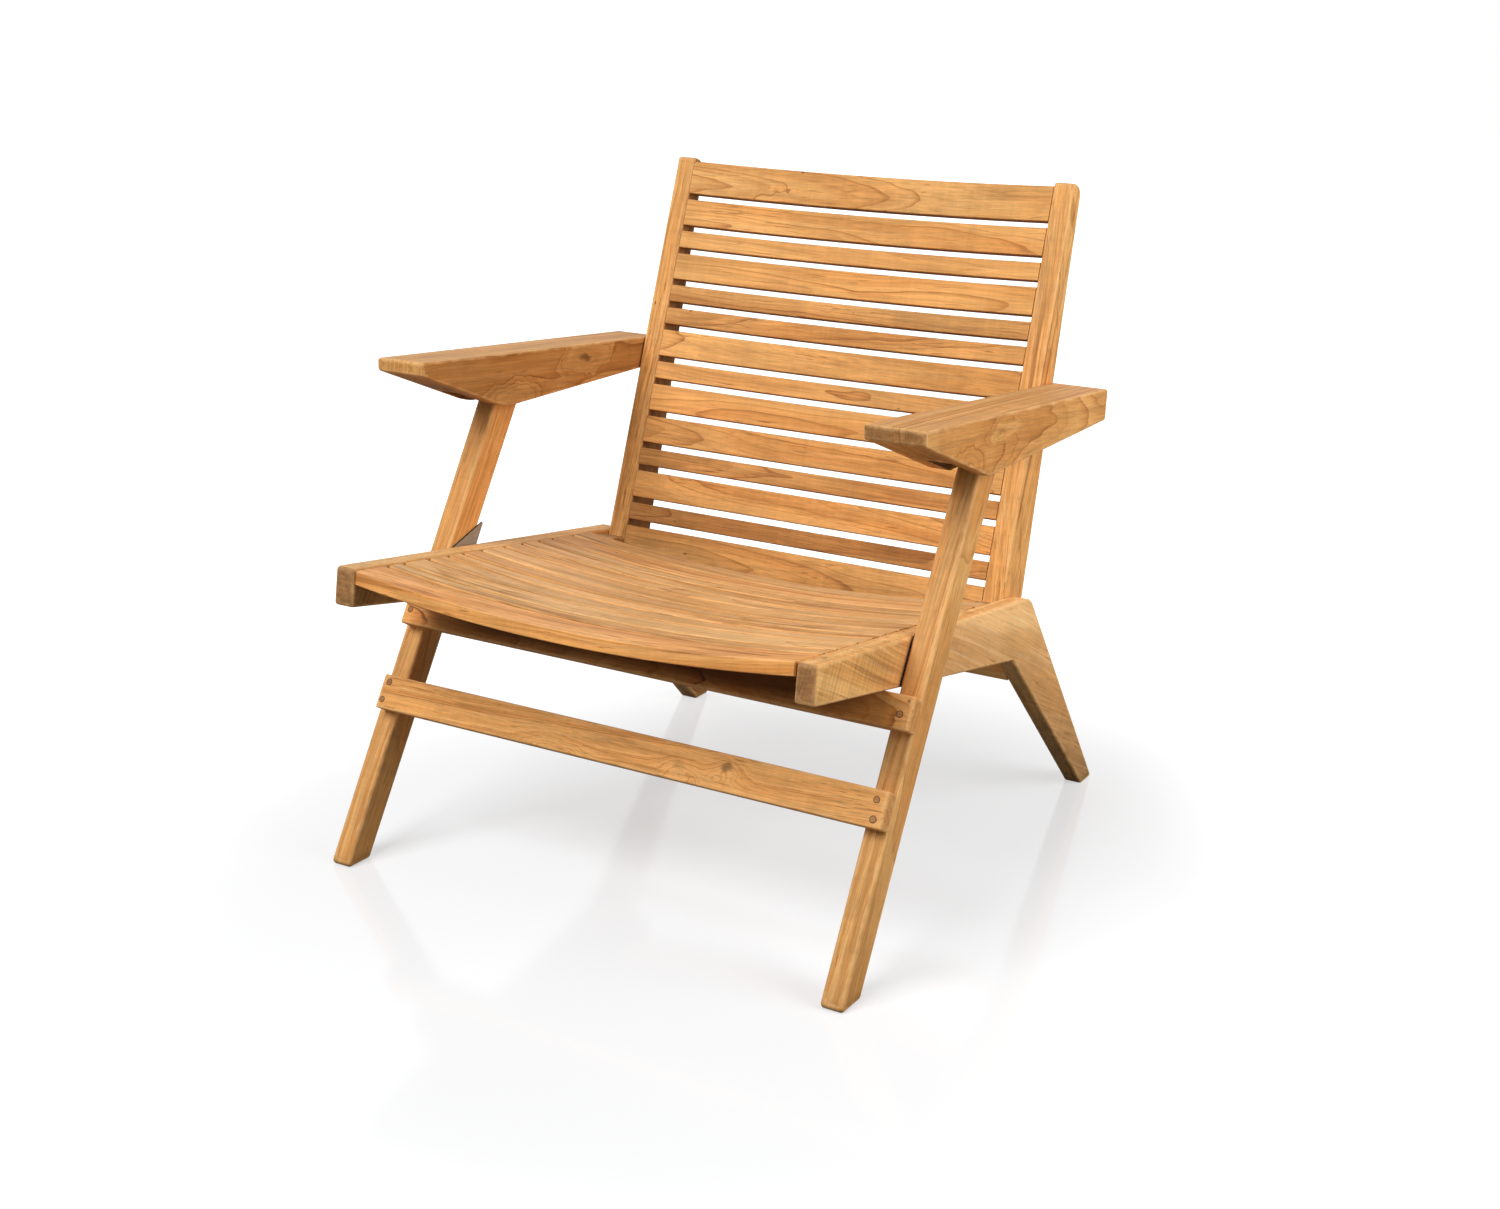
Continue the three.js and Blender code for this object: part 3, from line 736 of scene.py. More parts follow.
def teak_group(finish):
    """Teak: growth rings round the log's heart, fibres along it, pores, streaks; rubbed edges, painted
    highlight, sheen and shade.
    """
    inputs = {
        "Grain": ("Vector", None),
        "Tone": ("Vector", None),
        "Rim": ("Float", 0.006),
        "End cut": ("Float", 0.0),
        # a pale tint, which on tops is painted sheen
        "Pale tint": ("Float", 0.0),
        # darkening, mostly painted shade
        "Darkening": ("Float", 0.0),
        "Streaks": ("Float", 0.5),
        "Contrast": ("Float", 1.0),
        "Rings": ("Float", 260.0),
        "Tool marks": ("Float", FAINT_MARKS),
        "Figure": ("Float", 0.5),
        "Bulge": ("Float", 0.0),
        "Knot": ("Float", 0.0),
    }
    outputs = {"Color": "Color", "Roughness": "Float", "Height": "Float"}
    tree, n = new_tree("Teak wood", "ShaderNodeTree", inputs, outputs)
    given = n.given()
    grain, contrast, end = given["Grain"], given["Contrast"], given["End cut"]

    # the log's wavy growth, in metres
    wave = n.noise(grain * (3.2, 9.0, 9.0), 1.0, 0.4, output="Color")
    ripple = n.noise(grain * (14.0, 70.0, 70.0), 1.0, 0.5, output="Color")
    grown = grain + (wave - HALF) * (0.0, 0.022, 0.022) + (ripple - HALF) * (0.0, 0.0022, 0.0022)
    ring = n.length(grown * (0.0, 1.0, 1.0)) + given["Bulge"]

    # each year's ring darkens outwards and ends in a thin line
    years = ring * given["Rings"] + n.noise(ring, scale=70.0) * 5.0
    age = n.math("FRACT", years)
    number = n.math("FLOOR", years)
    year = n.out("ShaderNodeTexWhiteNoise", {"noise_dimensions": "1D"}, {"W": number}, "Value")
    late = n.ramp(age, 0.25, 0.97) * (1.0 - n.ramp(age, 0.975, 1.0)) * n.ramp(year, 0.1, 0.9, 0.15, 1.0)
    line = n.ramp(age, 0.74, 0.95) * (1.0 - n.ramp(age, 0.96, 1.0)) * n.ramp(year, 0.3, 1.0, 0.05, 0.85)

    # layers of the figure, as fine along and across the log as the numbers say
    bands = n.noise(ring, 1.0, scale=95.0)
    fibres = n.noise(grain * (18.0, 1100.0, 1100.0), 3.0, 0.65)
    strands = n.noise(grown * (5.0, 330.0, 330.0), 2.0, 0.55)
    pores = n.noise(grain * (120.0, 2100.0, 2100.0), 1.0)
    clouds = n.noise(grain * (9.0, 28.0, 28.0))
    figure = n.noise(grain * (75.0, 9.0, 9.0))
    sawn = n.noise(grain * (300.0, 8.0, 8.0), 1.0)
    threads = n.noise(grown * (3.0, 210.0, 210.0))
    dashes = n.noise(grown * (22.0, 420.0, 420.0))
    streaks = n.noise(grown * (2.4, 95.0, 95.0), 3.0, 0.6)
    patches = n.noise(grain * (4.0, 12.0, 12.0))

    lit = n.mix(n.ramp(bands, 0.35, 0.72) * 0.8, finish.light_wood, finish.deep_wood)
    lit = n.mix(late * given["Figure"], lit, finish.deep_wood)
    seen = line * n.ramp(clouds, 0.3, 0.6, 0.3, 1.0)
    lit = n.mix(n.math("MULTIPLY", seen, given["Figure"], clamp=True), lit, finish.ring_wood)
    dark = n.ramp(streaks, 0.5, 0.68) * n.ramp(patches, 0.4, 0.6, 0.2, 1.0) * given["Streaks"]
    lit = n.mix(n.ramp(threads, 0.54, 0.68) * (given["Streaks"] * 0.6), lit, finish.pale_wood)
    dash = n.ramp(dashes, 0.6, 0.7) * n.ramp(clouds, 0.42, 0.6, 0.1, 0.6) * contrast
    lit = n.mix(n.most(dark, dash), lit, finish.ring_wood)

    # lighter and darker, then warmer and cooler
    shade = (fibres - 0.5) * 0.8
    for layer, amount in ((strands, 0.62), (clouds, 0.45), (figure, 0.2), (patches, 0.4)):
        shade = shade + (layer - 0.5) * amount
    lightness, warmth, _ = n.split(given["Tone"])
    shade = shade * contrast + (sawn - 0.5) * given["Tool marks"] + lightness * 0.3
    lit = lit * (shade + 1.0)
    warm = warmth * 0.14 + (patches - 0.5) * 0.12
    lit = lit * n.combine(1.0 + warm * 0.35, 1.0 - warm * 0.4, 1.0 - warm)
    hole = n.ramp(pores, 0.64, 0.74) * n.ramp(late, 0.0, 0.8, 0.5, 1.0)
    lit = n.mix(hole * 0.4, lit, finish.ring_wood)

    # pin knots, in some cells only, and the board's own knots
    cells = {"Vector": grain * (14.0, 26.0, 26.0), "Scale": 1.0}
    cell = n.add("ShaderNodeTexVoronoi", {"voronoi_dimensions": "3D"}, cells)
    distance, pick = (Wire(n, cell.outputs[key]) for key in ("Distance", "Color"))
    knot = (1.0 - n.ramp(distance, 0.02, 0.05)) * n.math("GREATER_THAN", n.split(pick)[0], 0.55)
    lit = n.mix(knot * 0.7, lit, PIN_KNOT_BROWN)
    lit = n.mix(given["Knot"] * 0.75, lit, KNOT_BROWN)

    # a pale tint gives a paler, greyer tan, which on tops is painted sheen; darkening, mostly painted shade,
    # is darker
    lit = n.mix(given["Pale tint"], lit, lit * (0.93, 1.0, 1.3))
    lit = n.mix(given["Darkening"], lit, lit * (0.42, 0.34, 0.26))

    # cut ends: darker, greyer, with rings and pores seen end on
    specks = n.noise(grain * (120.0, 620.0, 620.0), 3.0, 0.6)
    blocks = n.noise(grain * (10.0, 240.0, 60.0))
    ends = n.mix(late * 0.7, finish.end_wood, finish.ring_wood)
    ends = ends * (n.ramp(specks, 0.25, 0.75, 0.72, 1.14) * n.ramp(blocks, 0.3, 0.7, 0.72, 1.12))
    ends = n.mix(n.ramp(clouds, 0.5, 0.68) * 0.6, ends, END_STAIN)
    lit = n.mix(end * 0.88, lit, ends)

    # edges rubbed pale, partly a painted highlight along lit edges
    rub = n.noise(grain * (45.0, 120.0, 120.0), 3.0, 0.6)
    pale_edge = 1.0 - n.ramp(given["Rim"] / n.ramp(rub, 0.38, 0.8, 0.0003, 0.0034), 0.0, 1.0)
    pale_edge = pale_edge * (n.ramp(rub, 0.35, 0.7, 0.12, 0.55) * (1.0 - end * 0.6))
    lit = n.mix(pale_edge, lit, finish.pale_wood)

    rough = 0.5 + fibres * 0.16 - pale_edge * 0.12
    height = fibres * 0.6 + strands * 0.4 - hole * 0.8 - line * 0.3 - knot * 0.8
    n.add("NodeGroupOutput", inputs={"Color": lit, "Roughness": rough, "Height": height})
    return tree


# Where the grain swells round a knot: place in millimetres, how far the swelling reaches along the
# chair's three axes, how much it lifts the rings, and how dark the knot itself is.
FAR_ARM_KNOTS = (((-289, 77, 549), (30, 75, 26), 22, 1.0), ((-289, -75, 520), (30, 90, 30), 12, 0.0))
NEAR_ARM_KNOTS = (((361, -60, 556), (30, 60, 16), 14, 0.5), ((361, -150, 530), (30, 70, 40), 9, 0.0))
STRETCHER_KNOTS = (
    ((150, -280, 196), (42, 24, 24), 17, 0.9),
    ((95, -284, 190), (50, 24, 20), 12, 0.3),
    ((-80, -288, 182), (70, 24, 24), 14, 0.0),
)
SLAT_KNOTS = (
    ((-120, 330, 745), (110, 60, 22), 15, 0.0),
    ((110, 330, 650), (90, 60, 18), 14, 0.0),
    ((-170, 300, 555), (80, 60, 16), 15, 0.3),
    ((60, 270, 480), (100, 60, 18), 13, 0.0),
    ((-190, 250, 445), (70, 60, 16), 15, 0.0),
    ((40, 360, 700), (80, 60, 14), 12, 0.0),
)


def swelling(n, knots):
    """How far the rings are lifted round some knots, in metres, and how dark the knots are."""
    place = n.place()
    place = place + (n.noise(place * 38.0, output="Color") - HALF) * 0.022
    lift, dark = 0.0, 0.0
    for spot, spread, height, darkness in knots:
        away = n.length((place - metres(spot)) / metres(spread))
        lift = lift + n.ramp(away, 0.0, 1.0, height * MM, 0.0)
        dark = dark + n.ramp(away, 0.08, 0.28, darkness, 0.0)
    return lift, dark


def slat_wear(n, wood, slats, top_sheen):
    """Rubbed edges, painted sheen on tops and painted shade at the sides and under slats, by their section.
    """
    aside, up, width = n.split(n.attribute("section", "Vector"))
    side = (1.0 - abs(aside)) * (width * 0.5)
    n.put(wood.inputs["Rim"], side + (1.0 - abs(up)) * 0.0075)
    # painted sheen: the slats' tops take the pale tint
    n.put(wood.inputs["Pale tint"], n.ramp(up, 0.8, 0.98) * top_sheen)
    # painted shade along the slats' long edges
    slat_shade = 1.0 - n.ramp(side / 0.0016, 0.0, 1.0)
    facing_front_edge = n.math("LESS_THAN", aside, 0.0)
    if slats == "seat":
        front = n.math("GREATER_THAN", width, FRONT_SLAT_WIDTH) * facing_front_edge
        slat_shade = slat_shade * (1.0 - n.ramp(up, 0.72, 0.9)) * ((1.0 - front) * 0.3)
        # painted shade where a slat's corner meets the rail, and underneath
        left = (RAIL_INNER - REST_GAP) * MM - abs(n.split(n.place())[0])
        slat_shade = n.most(slat_shade, 1.0 - n.ramp(n.length(n.combine(left, side)), 0.0012, 0.003))
        slat_shade = n.most(slat_shade, n.ramp(up, -0.98, -0.8, 1.0, 0.0))
    else:
        # back slats: painted shade along both long edges, stronger along the lower one
        slat_shade = slat_shade * (0.3 + facing_front_edge * 0.6)
    n.put(wood.inputs["Darkening"], slat_shade)


def board_wear(n, wood, top_sheen, tool_marks):
    """Rubbed edges, cut ends, painted sheen and shade, darker feet and saw marks of a board; returns its
    colour.
    """
    n.put(wood.inputs["Rim"], n.attribute("rim"))
    n.put(wood.inputs["End cut"], n.attribute("endcut"))
    across, back, up = n.split(n.place())
    painted_shade = n.attribute("painted_shade")
    # painted sheen: upward faces are paler and greyer
    pale = n.attribute("upward") * top_sheen
    if tool_marks > FAINT_MARKS:
        n.put(wood.inputs["Tool marks"], n.ramp(back, *MARKED_FRONT, tool_marks, FAINT_MARKS))
        # the side frames turn paler towards the rear, except where painted shade lies
        unshaded = n.math("SUBTRACT", 1.0, painted_shade * 2.0, clamp=True)
        pale = n.most(pale, unshaded * n.ramp(back, *MARKED_FRONT, 0.0, 0.8))
    n.put(wood.inputs["Pale tint"], pale)
    # painted shadow of the seat: a board under it darkens towards its upper edge, away from its ends
    middle = 1.0 - n.ramp(abs(across), *SEAT_SHADOW_REACH)
    shaded = middle * n.ramp(up, *SEAT_SHADOW_HEIGHTS) * n.attribute("shaded")
    # the boards darken towards the floor at the feet
    low = n.ramp(up, 0.0, FOOT_DARK_HEIGHT, 0.55, 0.0)
    n.put(wood.inputs["Darkening"], n.most(n.most(painted_shade, low), shaded))
    bare = Wire(n, wood.outputs["Color"])
    return n.mix(shaded, bare, bare * SEAT_SHADOW_TINT)


def teak_material(
    name, group, streaks=0.4, contrast=1.0, rings=260.0,
    top_sheen=0.0, tool_marks=FAINT_MARKS, figure=0.5, knots=(), slats=None,
):
    """Oiled teak for boards, or for the slats of the seat or the back."""
    material, n = new_material(name)
    inputs = {"Grain": n.attribute("grain", "Vector"), "Tone": n.attribute("tone", "Vector")}
    inputs |= {"Streaks": streaks, "Contrast": contrast, "Rings": rings, "Figure": figure}
    wood = n.add("ShaderNodeGroup", {"node_tree": group}, inputs)
    if knots:
        lift, dark = swelling(n, knots)
        n.put(wood.inputs["Bulge"], lift)
        n.put(wood.inputs["Knot"], dark)
    shown, rough, height = (Wire(n, wood.outputs[key]) for key in ("Color", "Roughness", "Height"))
    if slats:
        slat_wear(n, wood, slats, top_sheen)
    else:
        shown = board_wear(n, wood, top_sheen, tool_marks)
    n.surface(shown, rough, height, (0.35, 0.0004), {"Specular IOR Level": 0.22})
    return material


def metal_material(name, metal, rough, brushed, edge=None):
    """Brushed metal with faint scratches and stains, or dull metal whose cut edges are painted near black as
    shade.
    """
    material, n = new_material(name)
    place = n.place()
    scratch = n.noise(place * brushed, 3.0, 0.6)
    stain = n.noise(place * 45.0, 3.0, 0.6)
    tone = n.ramp(scratch, 0.3, 0.7, 0.82, 1.08) + n.ramp(stain, 0.35, 0.75, 0.0, -0.18)
    metal, constants = tuple(metal), {"Metallic": 0.85, "Specular IOR Level": 0.5}
    if edge is not None:
        # cut edges take the near-black colour, painted shade of the gap
        metal = n.mix(n.attribute("endcut"), edge, metal)
        constants = {"Metallic": 0.0, "Specular IOR Level": 0.15}
    shown = n.vector("SCALE", metal, scale=tone)
    shine = n.ramp(stain, 0.3, 0.7, rough - 0.06, rough + 0.14) + scratch * 0.08
    n.surface(shown, shine, scratch, (0.2, 0.0002), constants)
    return material


def plug_material(name, group):
    """Teak plugs set across the board's grain, each in a dark ring."""
    material, n = new_material(name)
    grain = n.attribute("grain", "Vector")
    inputs = {"Grain": grain, "Rim": 0.006, "Streaks": 0.5, "Contrast": 1.2}
    wood = n.add("ShaderNodeGroup", {"node_tree": group}, inputs)
    shown, rough, height = (Wire(n, wood.outputs[key]) for key in ("Color", "Roughness", "Height"))
    away = n.length(n.attribute("disc", "Vector") * (1.0, 1.0, 0.0))
    away = away + (n.noise(grain * 900.0, 2.0, 0.6) - 0.5) * 0.22
    shown = n.mix(n.ramp(away, 0.72, 0.9), n.mix(0.6, shown, PLUG_BROWN), PLUG_RIM)
    n.surface(shown, rough, height, (0.4, 0.0003), {"Specular IOR Level": 0.3})
    return material


MATERIALS = {}
# How each board's or slat's teak differs: its name, its contrast against the grain strength, the rest.
TEAKS = {
    "teak": ("Teak frame", 1.0, {"streaks": 0.35, "top_sheen": 0.6}),
    "rail": ("Teak side frame", 1.0, {"streaks": 0.5, "top_sheen": 0.6, "tool_marks": 0.75}),
    "stile": ("Teak stile", 1.3, {"streaks": 0.75, "top_sheen": 0.6, "figure": 0.65}),
    "stretcher": ("Teak stretcher", 1.0, {"rings": 340.0, "figure": 1.7, "knots": STRETCHER_KNOTS}),
    "near_arm": (
        "Teak near arm",
        0.85,
        {"streaks": 0.3, "rings": 400.0, "top_sheen": 0.8, "figure": 1.0, "knots": NEAR_ARM_KNOTS},
    ),
    "far_arm": (
        "Teak far arm",
        0.85,
        {"streaks": 0.3, "rings": 400.0, "top_sheen": 0.8, "figure": 1.0, "knots": FAR_ARM_KNOTS},
    ),
    "seat": ("Teak seat slats", 1.1, {"streaks": 0.65, "top_sheen": 1.0, "slats": "seat"}),
    "back": (
        "Teak back slats",
        1.05,
        {"streaks": 0.3, "rings": 320.0, "figure": 0.75, "knots": SLAT_KNOTS, "slats": "back"},
    ),
}


def finishes():
    """The chair's materials by plain name, made once."""
    if not MATERIALS:
        finish = bpy.context.scene.armchair_finish
        group = teak_group(finish)
        for key, (name, contrast, settings) in TEAKS.items():
            contrast *= finish.grain_strength
            MATERIALS[key] = teak_material(name, group, contrast=contrast, **settings)
        MATERIALS["plug"] = plug_material("Teak plugs", group)
        MATERIALS["plate"] = metal_material(
            "Leg plate metal", finish.plate_metal, 0.5, (40.0, 40.0, 900.0), finish.plate_edge_shade
        )
        MATERIALS["pin"] = metal_material("Pivot steel", finish.pin_metal, 0.3, (30.0, 900.0, 900.0))
    return MATERIALS


# Slats and plugs by Geometry Nodes


def finish_geometry(n, geometry, material):
    """Ends a tree in plain geometry of one material."""
    finished = n.out("GeometryNodeSetMaterial", inputs={"Geometry": geometry, "Material": material})
    n.add("NodeGroupOutput", inputs={"Geometry": finished})


def slat_tree():
    """Lays a dished, rounded slat on each point given, as wide as the point says."""
    inputs = {
        "Geometry": ("Geometry", None),
        "Half Span": ("Float", 0.287),
        "Thickness": ("Float", 0.016),
        "Edge": ("Float", 0.002),
        "Dip": ("Float", 0.018),
        "Steps": ("Int", 36),
        "Edge Steps": ("Int", 20),
        "Seed": ("Int", 1),
        "Material": ("Material", None),
    }
    tree, n = new_tree("Row of slats", "GeometryNodeTree", inputs, {"Geometry": "Geometry"})
    tree.is_modifier = True
    given = n.given()
    span, thick, edge, edge_steps = (given[key] for key in ("Half Span", "Thickness", "Edge", "Edge Steps"))

    # points know their own row and number
    row = n.split(n.out("GeometryNodeInputPosition"))[1]
    points = n.store(given["Geometry"], "row", "FLOAT", row)
    points = n.store(points, "number", "INT", n.out("GeometryNodeInputIndex"))

    # a thin straight rod across the chair
    ends = {"Start": n.combine(span * -1.0), "End": n.combine(span)}
    line = n.out("GeometryNodeCurvePrimitiveLine", inputs=ends)
    line = n.out("GeometryNodeResampleCurve", inputs={"Curve": line, "Count": given["Steps"]})
    circle = n.out("GeometryNodeCurvePrimitiveCircle", inputs={"Resolution": edge_steps, "Radius": edge})
    half_step = n.combine(z=math.pi / edge_steps)
    ring = n.out("GeometryNodeTransform", inputs={"Geometry": circle, "Rotation": half_step})
    sweep = {"Curve": line, "Profile Curve": ring, "Fill Caps": True}
    rod = n.out("GeometryNodeCurveToMesh", inputs=sweep)
    laid = n.out("GeometryNodeInstanceOnPoints", inputs={"Points": points, "Instance": rod})
    solid = n.out("GeometryNodeRealizeInstances", inputs={"Geometry": laid})

    # the rod's quarters move out to the slat's four edges
    run, beside, above = n.split(n.out("GeometryNodeInputPosition"))
    aside = beside - n.named("row", "FLOAT")
    width = n.named("width", "FLOAT")
    out_side = n.math("SIGN", aside) * (width * 0.5 - edge)
    out_up = n.math("SIGN", above) * (thick * 0.5 - edge)
    flat_side, flat_up = aside + out_side, above + out_up

    # each slat comes from its own place in the log, and all are read before the points move
    number = n.named("number", "INT")
    chances = []
    for low, high, seed in (
        ((0.0, -0.025, 0.024), (6.0, 0.025, 0.06), given["Seed"]),
        ((0.0, -0.03, -0.06), (0.0, 0.03, 0.06), given["Seed"] + 9.0),
    ):
        values = {"Min": low, "Max": high, "ID": number, "Seed": seed}
        chances.append(n.out("FunctionNodeRandomValue", {"data_type": "FLOAT_VECTOR"}, values))
    start, tilt = chances
    log = n.combine(run, flat_side, flat_up) + start + tilt * run
    section = n.combine(flat_side / (width * 0.5), flat_up / (thick * 0.5), width)
    solid = n.store(solid, "grain", "FLOAT_VECTOR", log)
    solid = n.store(solid, "section", "FLOAT_VECTOR", section)

    # its length dips in the middle
    share = run / span
    drop = (thick * 0.5 + given["Dip"] * (1.0 - share * share)) * -1.0
    offset = n.combine(y=out_side, z=out_up + drop)
    moved = n.out("GeometryNodeSetPosition", inputs={"Geometry": solid, "Offset": offset})
    smooth = n.out("GeometryNodeSetShadeSmooth", inputs={"Geometry": moved})
    whole = n.out("GeometryNodeRealizeInstances", inputs={"Geometry": smooth})
    finish_geometry(n, whole, given["Material"])
    return tree


def plug_tree():
    """Sets a low disc on each point, as wide as the point says, which knows the place on its face."""
    inputs = {
        "Geometry": ("Geometry", None),
        "Radius": ("Float", 0.004),
        "Rise": ("Float", 0.0003),
        "Seed": ("Int", 1),
        "Material": ("Material", None),
    }
    tree, n = new_tree("Plugs", "GeometryNodeTree", inputs, {"Geometry": "Geometry"})
    tree.is_modifier = True
    given = n.given()
    radius = given["Radius"]
    steps = {"Vertices": 28, "Side Segments": 1, "Fill Segments": 4}
    steps |= {"Radius": radius, "Depth": given["Rise"] * 2.0}
    disc = n.out("GeometryNodeMeshCylinder", {"fill_type": "NGON"}, steps, "Mesh")
    place = n.out("GeometryNodeInputPosition")
    disc = n.store(disc, "disc", "FLOAT_VECTOR", place / n.combine(radius, radius, radius))
    turn = n.add("FunctionNodeRandomValue", {"data_type": "FLOAT"}, {2: 0.0, 3: math.tau})
    n.put(turn.inputs["Seed"], given["Seed"])
    size = n.named("width", "FLOAT")
    laid = {
        "Points": given["Geometry"],
        "Instance": disc,
        "Rotation": n.combine(z=Wire(n, turn.outputs[1])),
        "Scale": n.combine(size, size, 1.0),
    }
    laid = n.out("GeometryNodeInstanceOnPoints", inputs=laid)
    whole = n.out("GeometryNodeRealizeInstances", inputs={"Geometry": laid})
    grain = n.out("GeometryNodeInputPosition") + (0.0, 0.03, 0.02)
    whole = n.store(whole, "grain", "FLOAT_VECTOR", grain)
    finish_geometry(n, whole, given["Material"])
    return tree


def run_tree(name, tree, points, values, place):
    """Runs a tree on an object of points, and returns its result as a plain mesh object in its place."""
    mesh = bpy.data.meshes.new(name + "_points")
    mesh.from_pydata(points["places"], [], [])
    for key, kind in (("width", "FLOAT"), ("tone", "FLOAT_VECTOR")):
        if key in points:
            set_attribute(mesh, key, kind, points[key])
    seed_object = new_object(name + "_points", mesh)
    modifier = seed_object.modifiers.new("Made by rule", "NODES")
    modifier.node_group = tree
    sockets = [item for item in tree.interface.items_tree if item.item_type == "SOCKET"]
    keys = {item.name: item.identifier for item in sockets if item.in_out == "INPUT"}
    for key, value in values.items():
        modifier[keys[key]] = value
    result = evaluated_mesh(seed_object)
    seed_object.modifiers.remove(modifier)
    bpy.data.objects.remove(seed_object)
    result.name = name
    result.transform(TO_METRES @ place @ TO_MILLIMETRES)
    result.update()
    weighted_normals(result)
    return new_object(name, result)


def slat_points(pattern, widths, gap, start, tones):
    """Centres, widths and tones of slats laid one after the other from a start in millimetres."""
    centres, run = [], start
    for size in pattern:
        centres.append((0, (run + widths[size] / 2) * MM, 0))
        run += widths[size] + gap / MM
    return {"places": centres, "width": metres(widths[size] for size in pattern), "tone": tones}


def slat_tree_once():
    """The tree for slats, made for the first row and used again for the second."""
    return bpy.data.node_groups.get("Row of slats") or slat_tree()


# Operators


class ARMCHAIR_OT_side_frames(bpy.types.Operator):
    """Two boomerang-shaped side frames, each seat rail and rear leg in one board"""

    bl_idname = "armchair.side_frames"
    bl_label = "Side frames"

    def execute(self, context):
        sizes = context.scene.armchair_sizes
        corner, edge = sizes.board_corner / MM, sizes.board_edge / MM
        for side, seed, tone in (("left", 11, -2.45), ("right", 12, -2.3)):
            thicker, higher = RAIL_FULLNESS[side]
            corners = [
                (SEAT_FRONT[0], SEAT_FRONT[1] + higher, corner + 1),
                (*NOSE_FOOT, corner),
                (*CROTCH, corner),
                (REAR_FOOT, 0, corner - 1),
                (REAR_FOOT + REAR_FOOT_LENGTH, 0, corner),
                (*HUMP, HUMP_ROUND),
            ]
            board = Board(corners, RAIL_INNER, RAIL_OUTER + thicker, edge * 1.4)
            along = (0, math.cos(RAIL_GRAIN_LEAN), -math.sin(RAIL_GRAIN_LEAN))
            timber = Timber(along, (1, 0, 0), seed, tone, -0.7, centre=(0, -100, 300), drift=(4.1, 11))
            board_piece(
                "teak_side_frame_" + side, board, SIDE, timber, finishes()["rail"],
                "seat_frame", ["side_frame_" + side],
                side == "right", inner_painted_shade=0.55, under_painted_shade=0.5,
            )
        return {"FINISHED"}


class ARMCHAIR_OT_seat(bpy.types.Operator):
    """Twelve dished seat slats and the cross rail between the rear legs"""

    bl_idname = "armchair.seat"
    bl_label = "Seat slats and cross rail"

    def execute(self, context):
        sizes = context.scene.armchair_sizes
        draw = random.Random(31)
        tones = [SEAT_FRONT_TONE]
        for _ in SEAT_PATTERN[1:]:
            tones.append((draw.uniform(0.15, 0.75), draw.uniform(-0.9, -0.2), draw.random()))
        points = slat_points(SEAT_PATTERN, SEAT_WIDTHS, sizes.seat_slat_gap, 0, tones)
        half = RAIL_INNER - REST_GAP
        values = {
            "Half Span": half * MM,
            "Thickness": SEAT_SLAT_THICKNESS * MM,
            "Edge": SEAT_SLAT_EDGE * MM,
            "Dip": sizes.seat_dip,
            "Steps": sizes.slat_steps,
            "Seed": 4,
            "Material": finishes()["seat"],
        }
        slats = run_tree("teak_seat_slats", slat_tree_once(), points, values, SEAT_PLACE)
        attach(slats, "seat_frame")
        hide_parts(*["seat_slat_%02d" % (i + 1) for i in range(len(SEAT_PATTERN))])

        near, far = CROSS_RAIL_INSET, CROSS_RAIL_INSET + CROSS_RAIL_WIDTH
        plan = [(-half, near, 2), (half, near, 2), (half, far, 2), (-half, far, 2)]
        low = -CROSS_RAIL_DROP - CROSS_RAIL_THICKNESS / 2
        board = Board(plan, low, low + CROSS_RAIL_THICKNESS, 2)
        board_piece(
            "teak_rear_cross_rail", board, REAR_LEG_PLACE @ ACROSS, Timber((1, 0, 0), (0, 1, 0.9), 21, 0.9),
            finishes()["teak"], "seat_frame", ["rear_cross_rail"], under_painted_shade=0.0,
        )
        return {"FINISHED"}


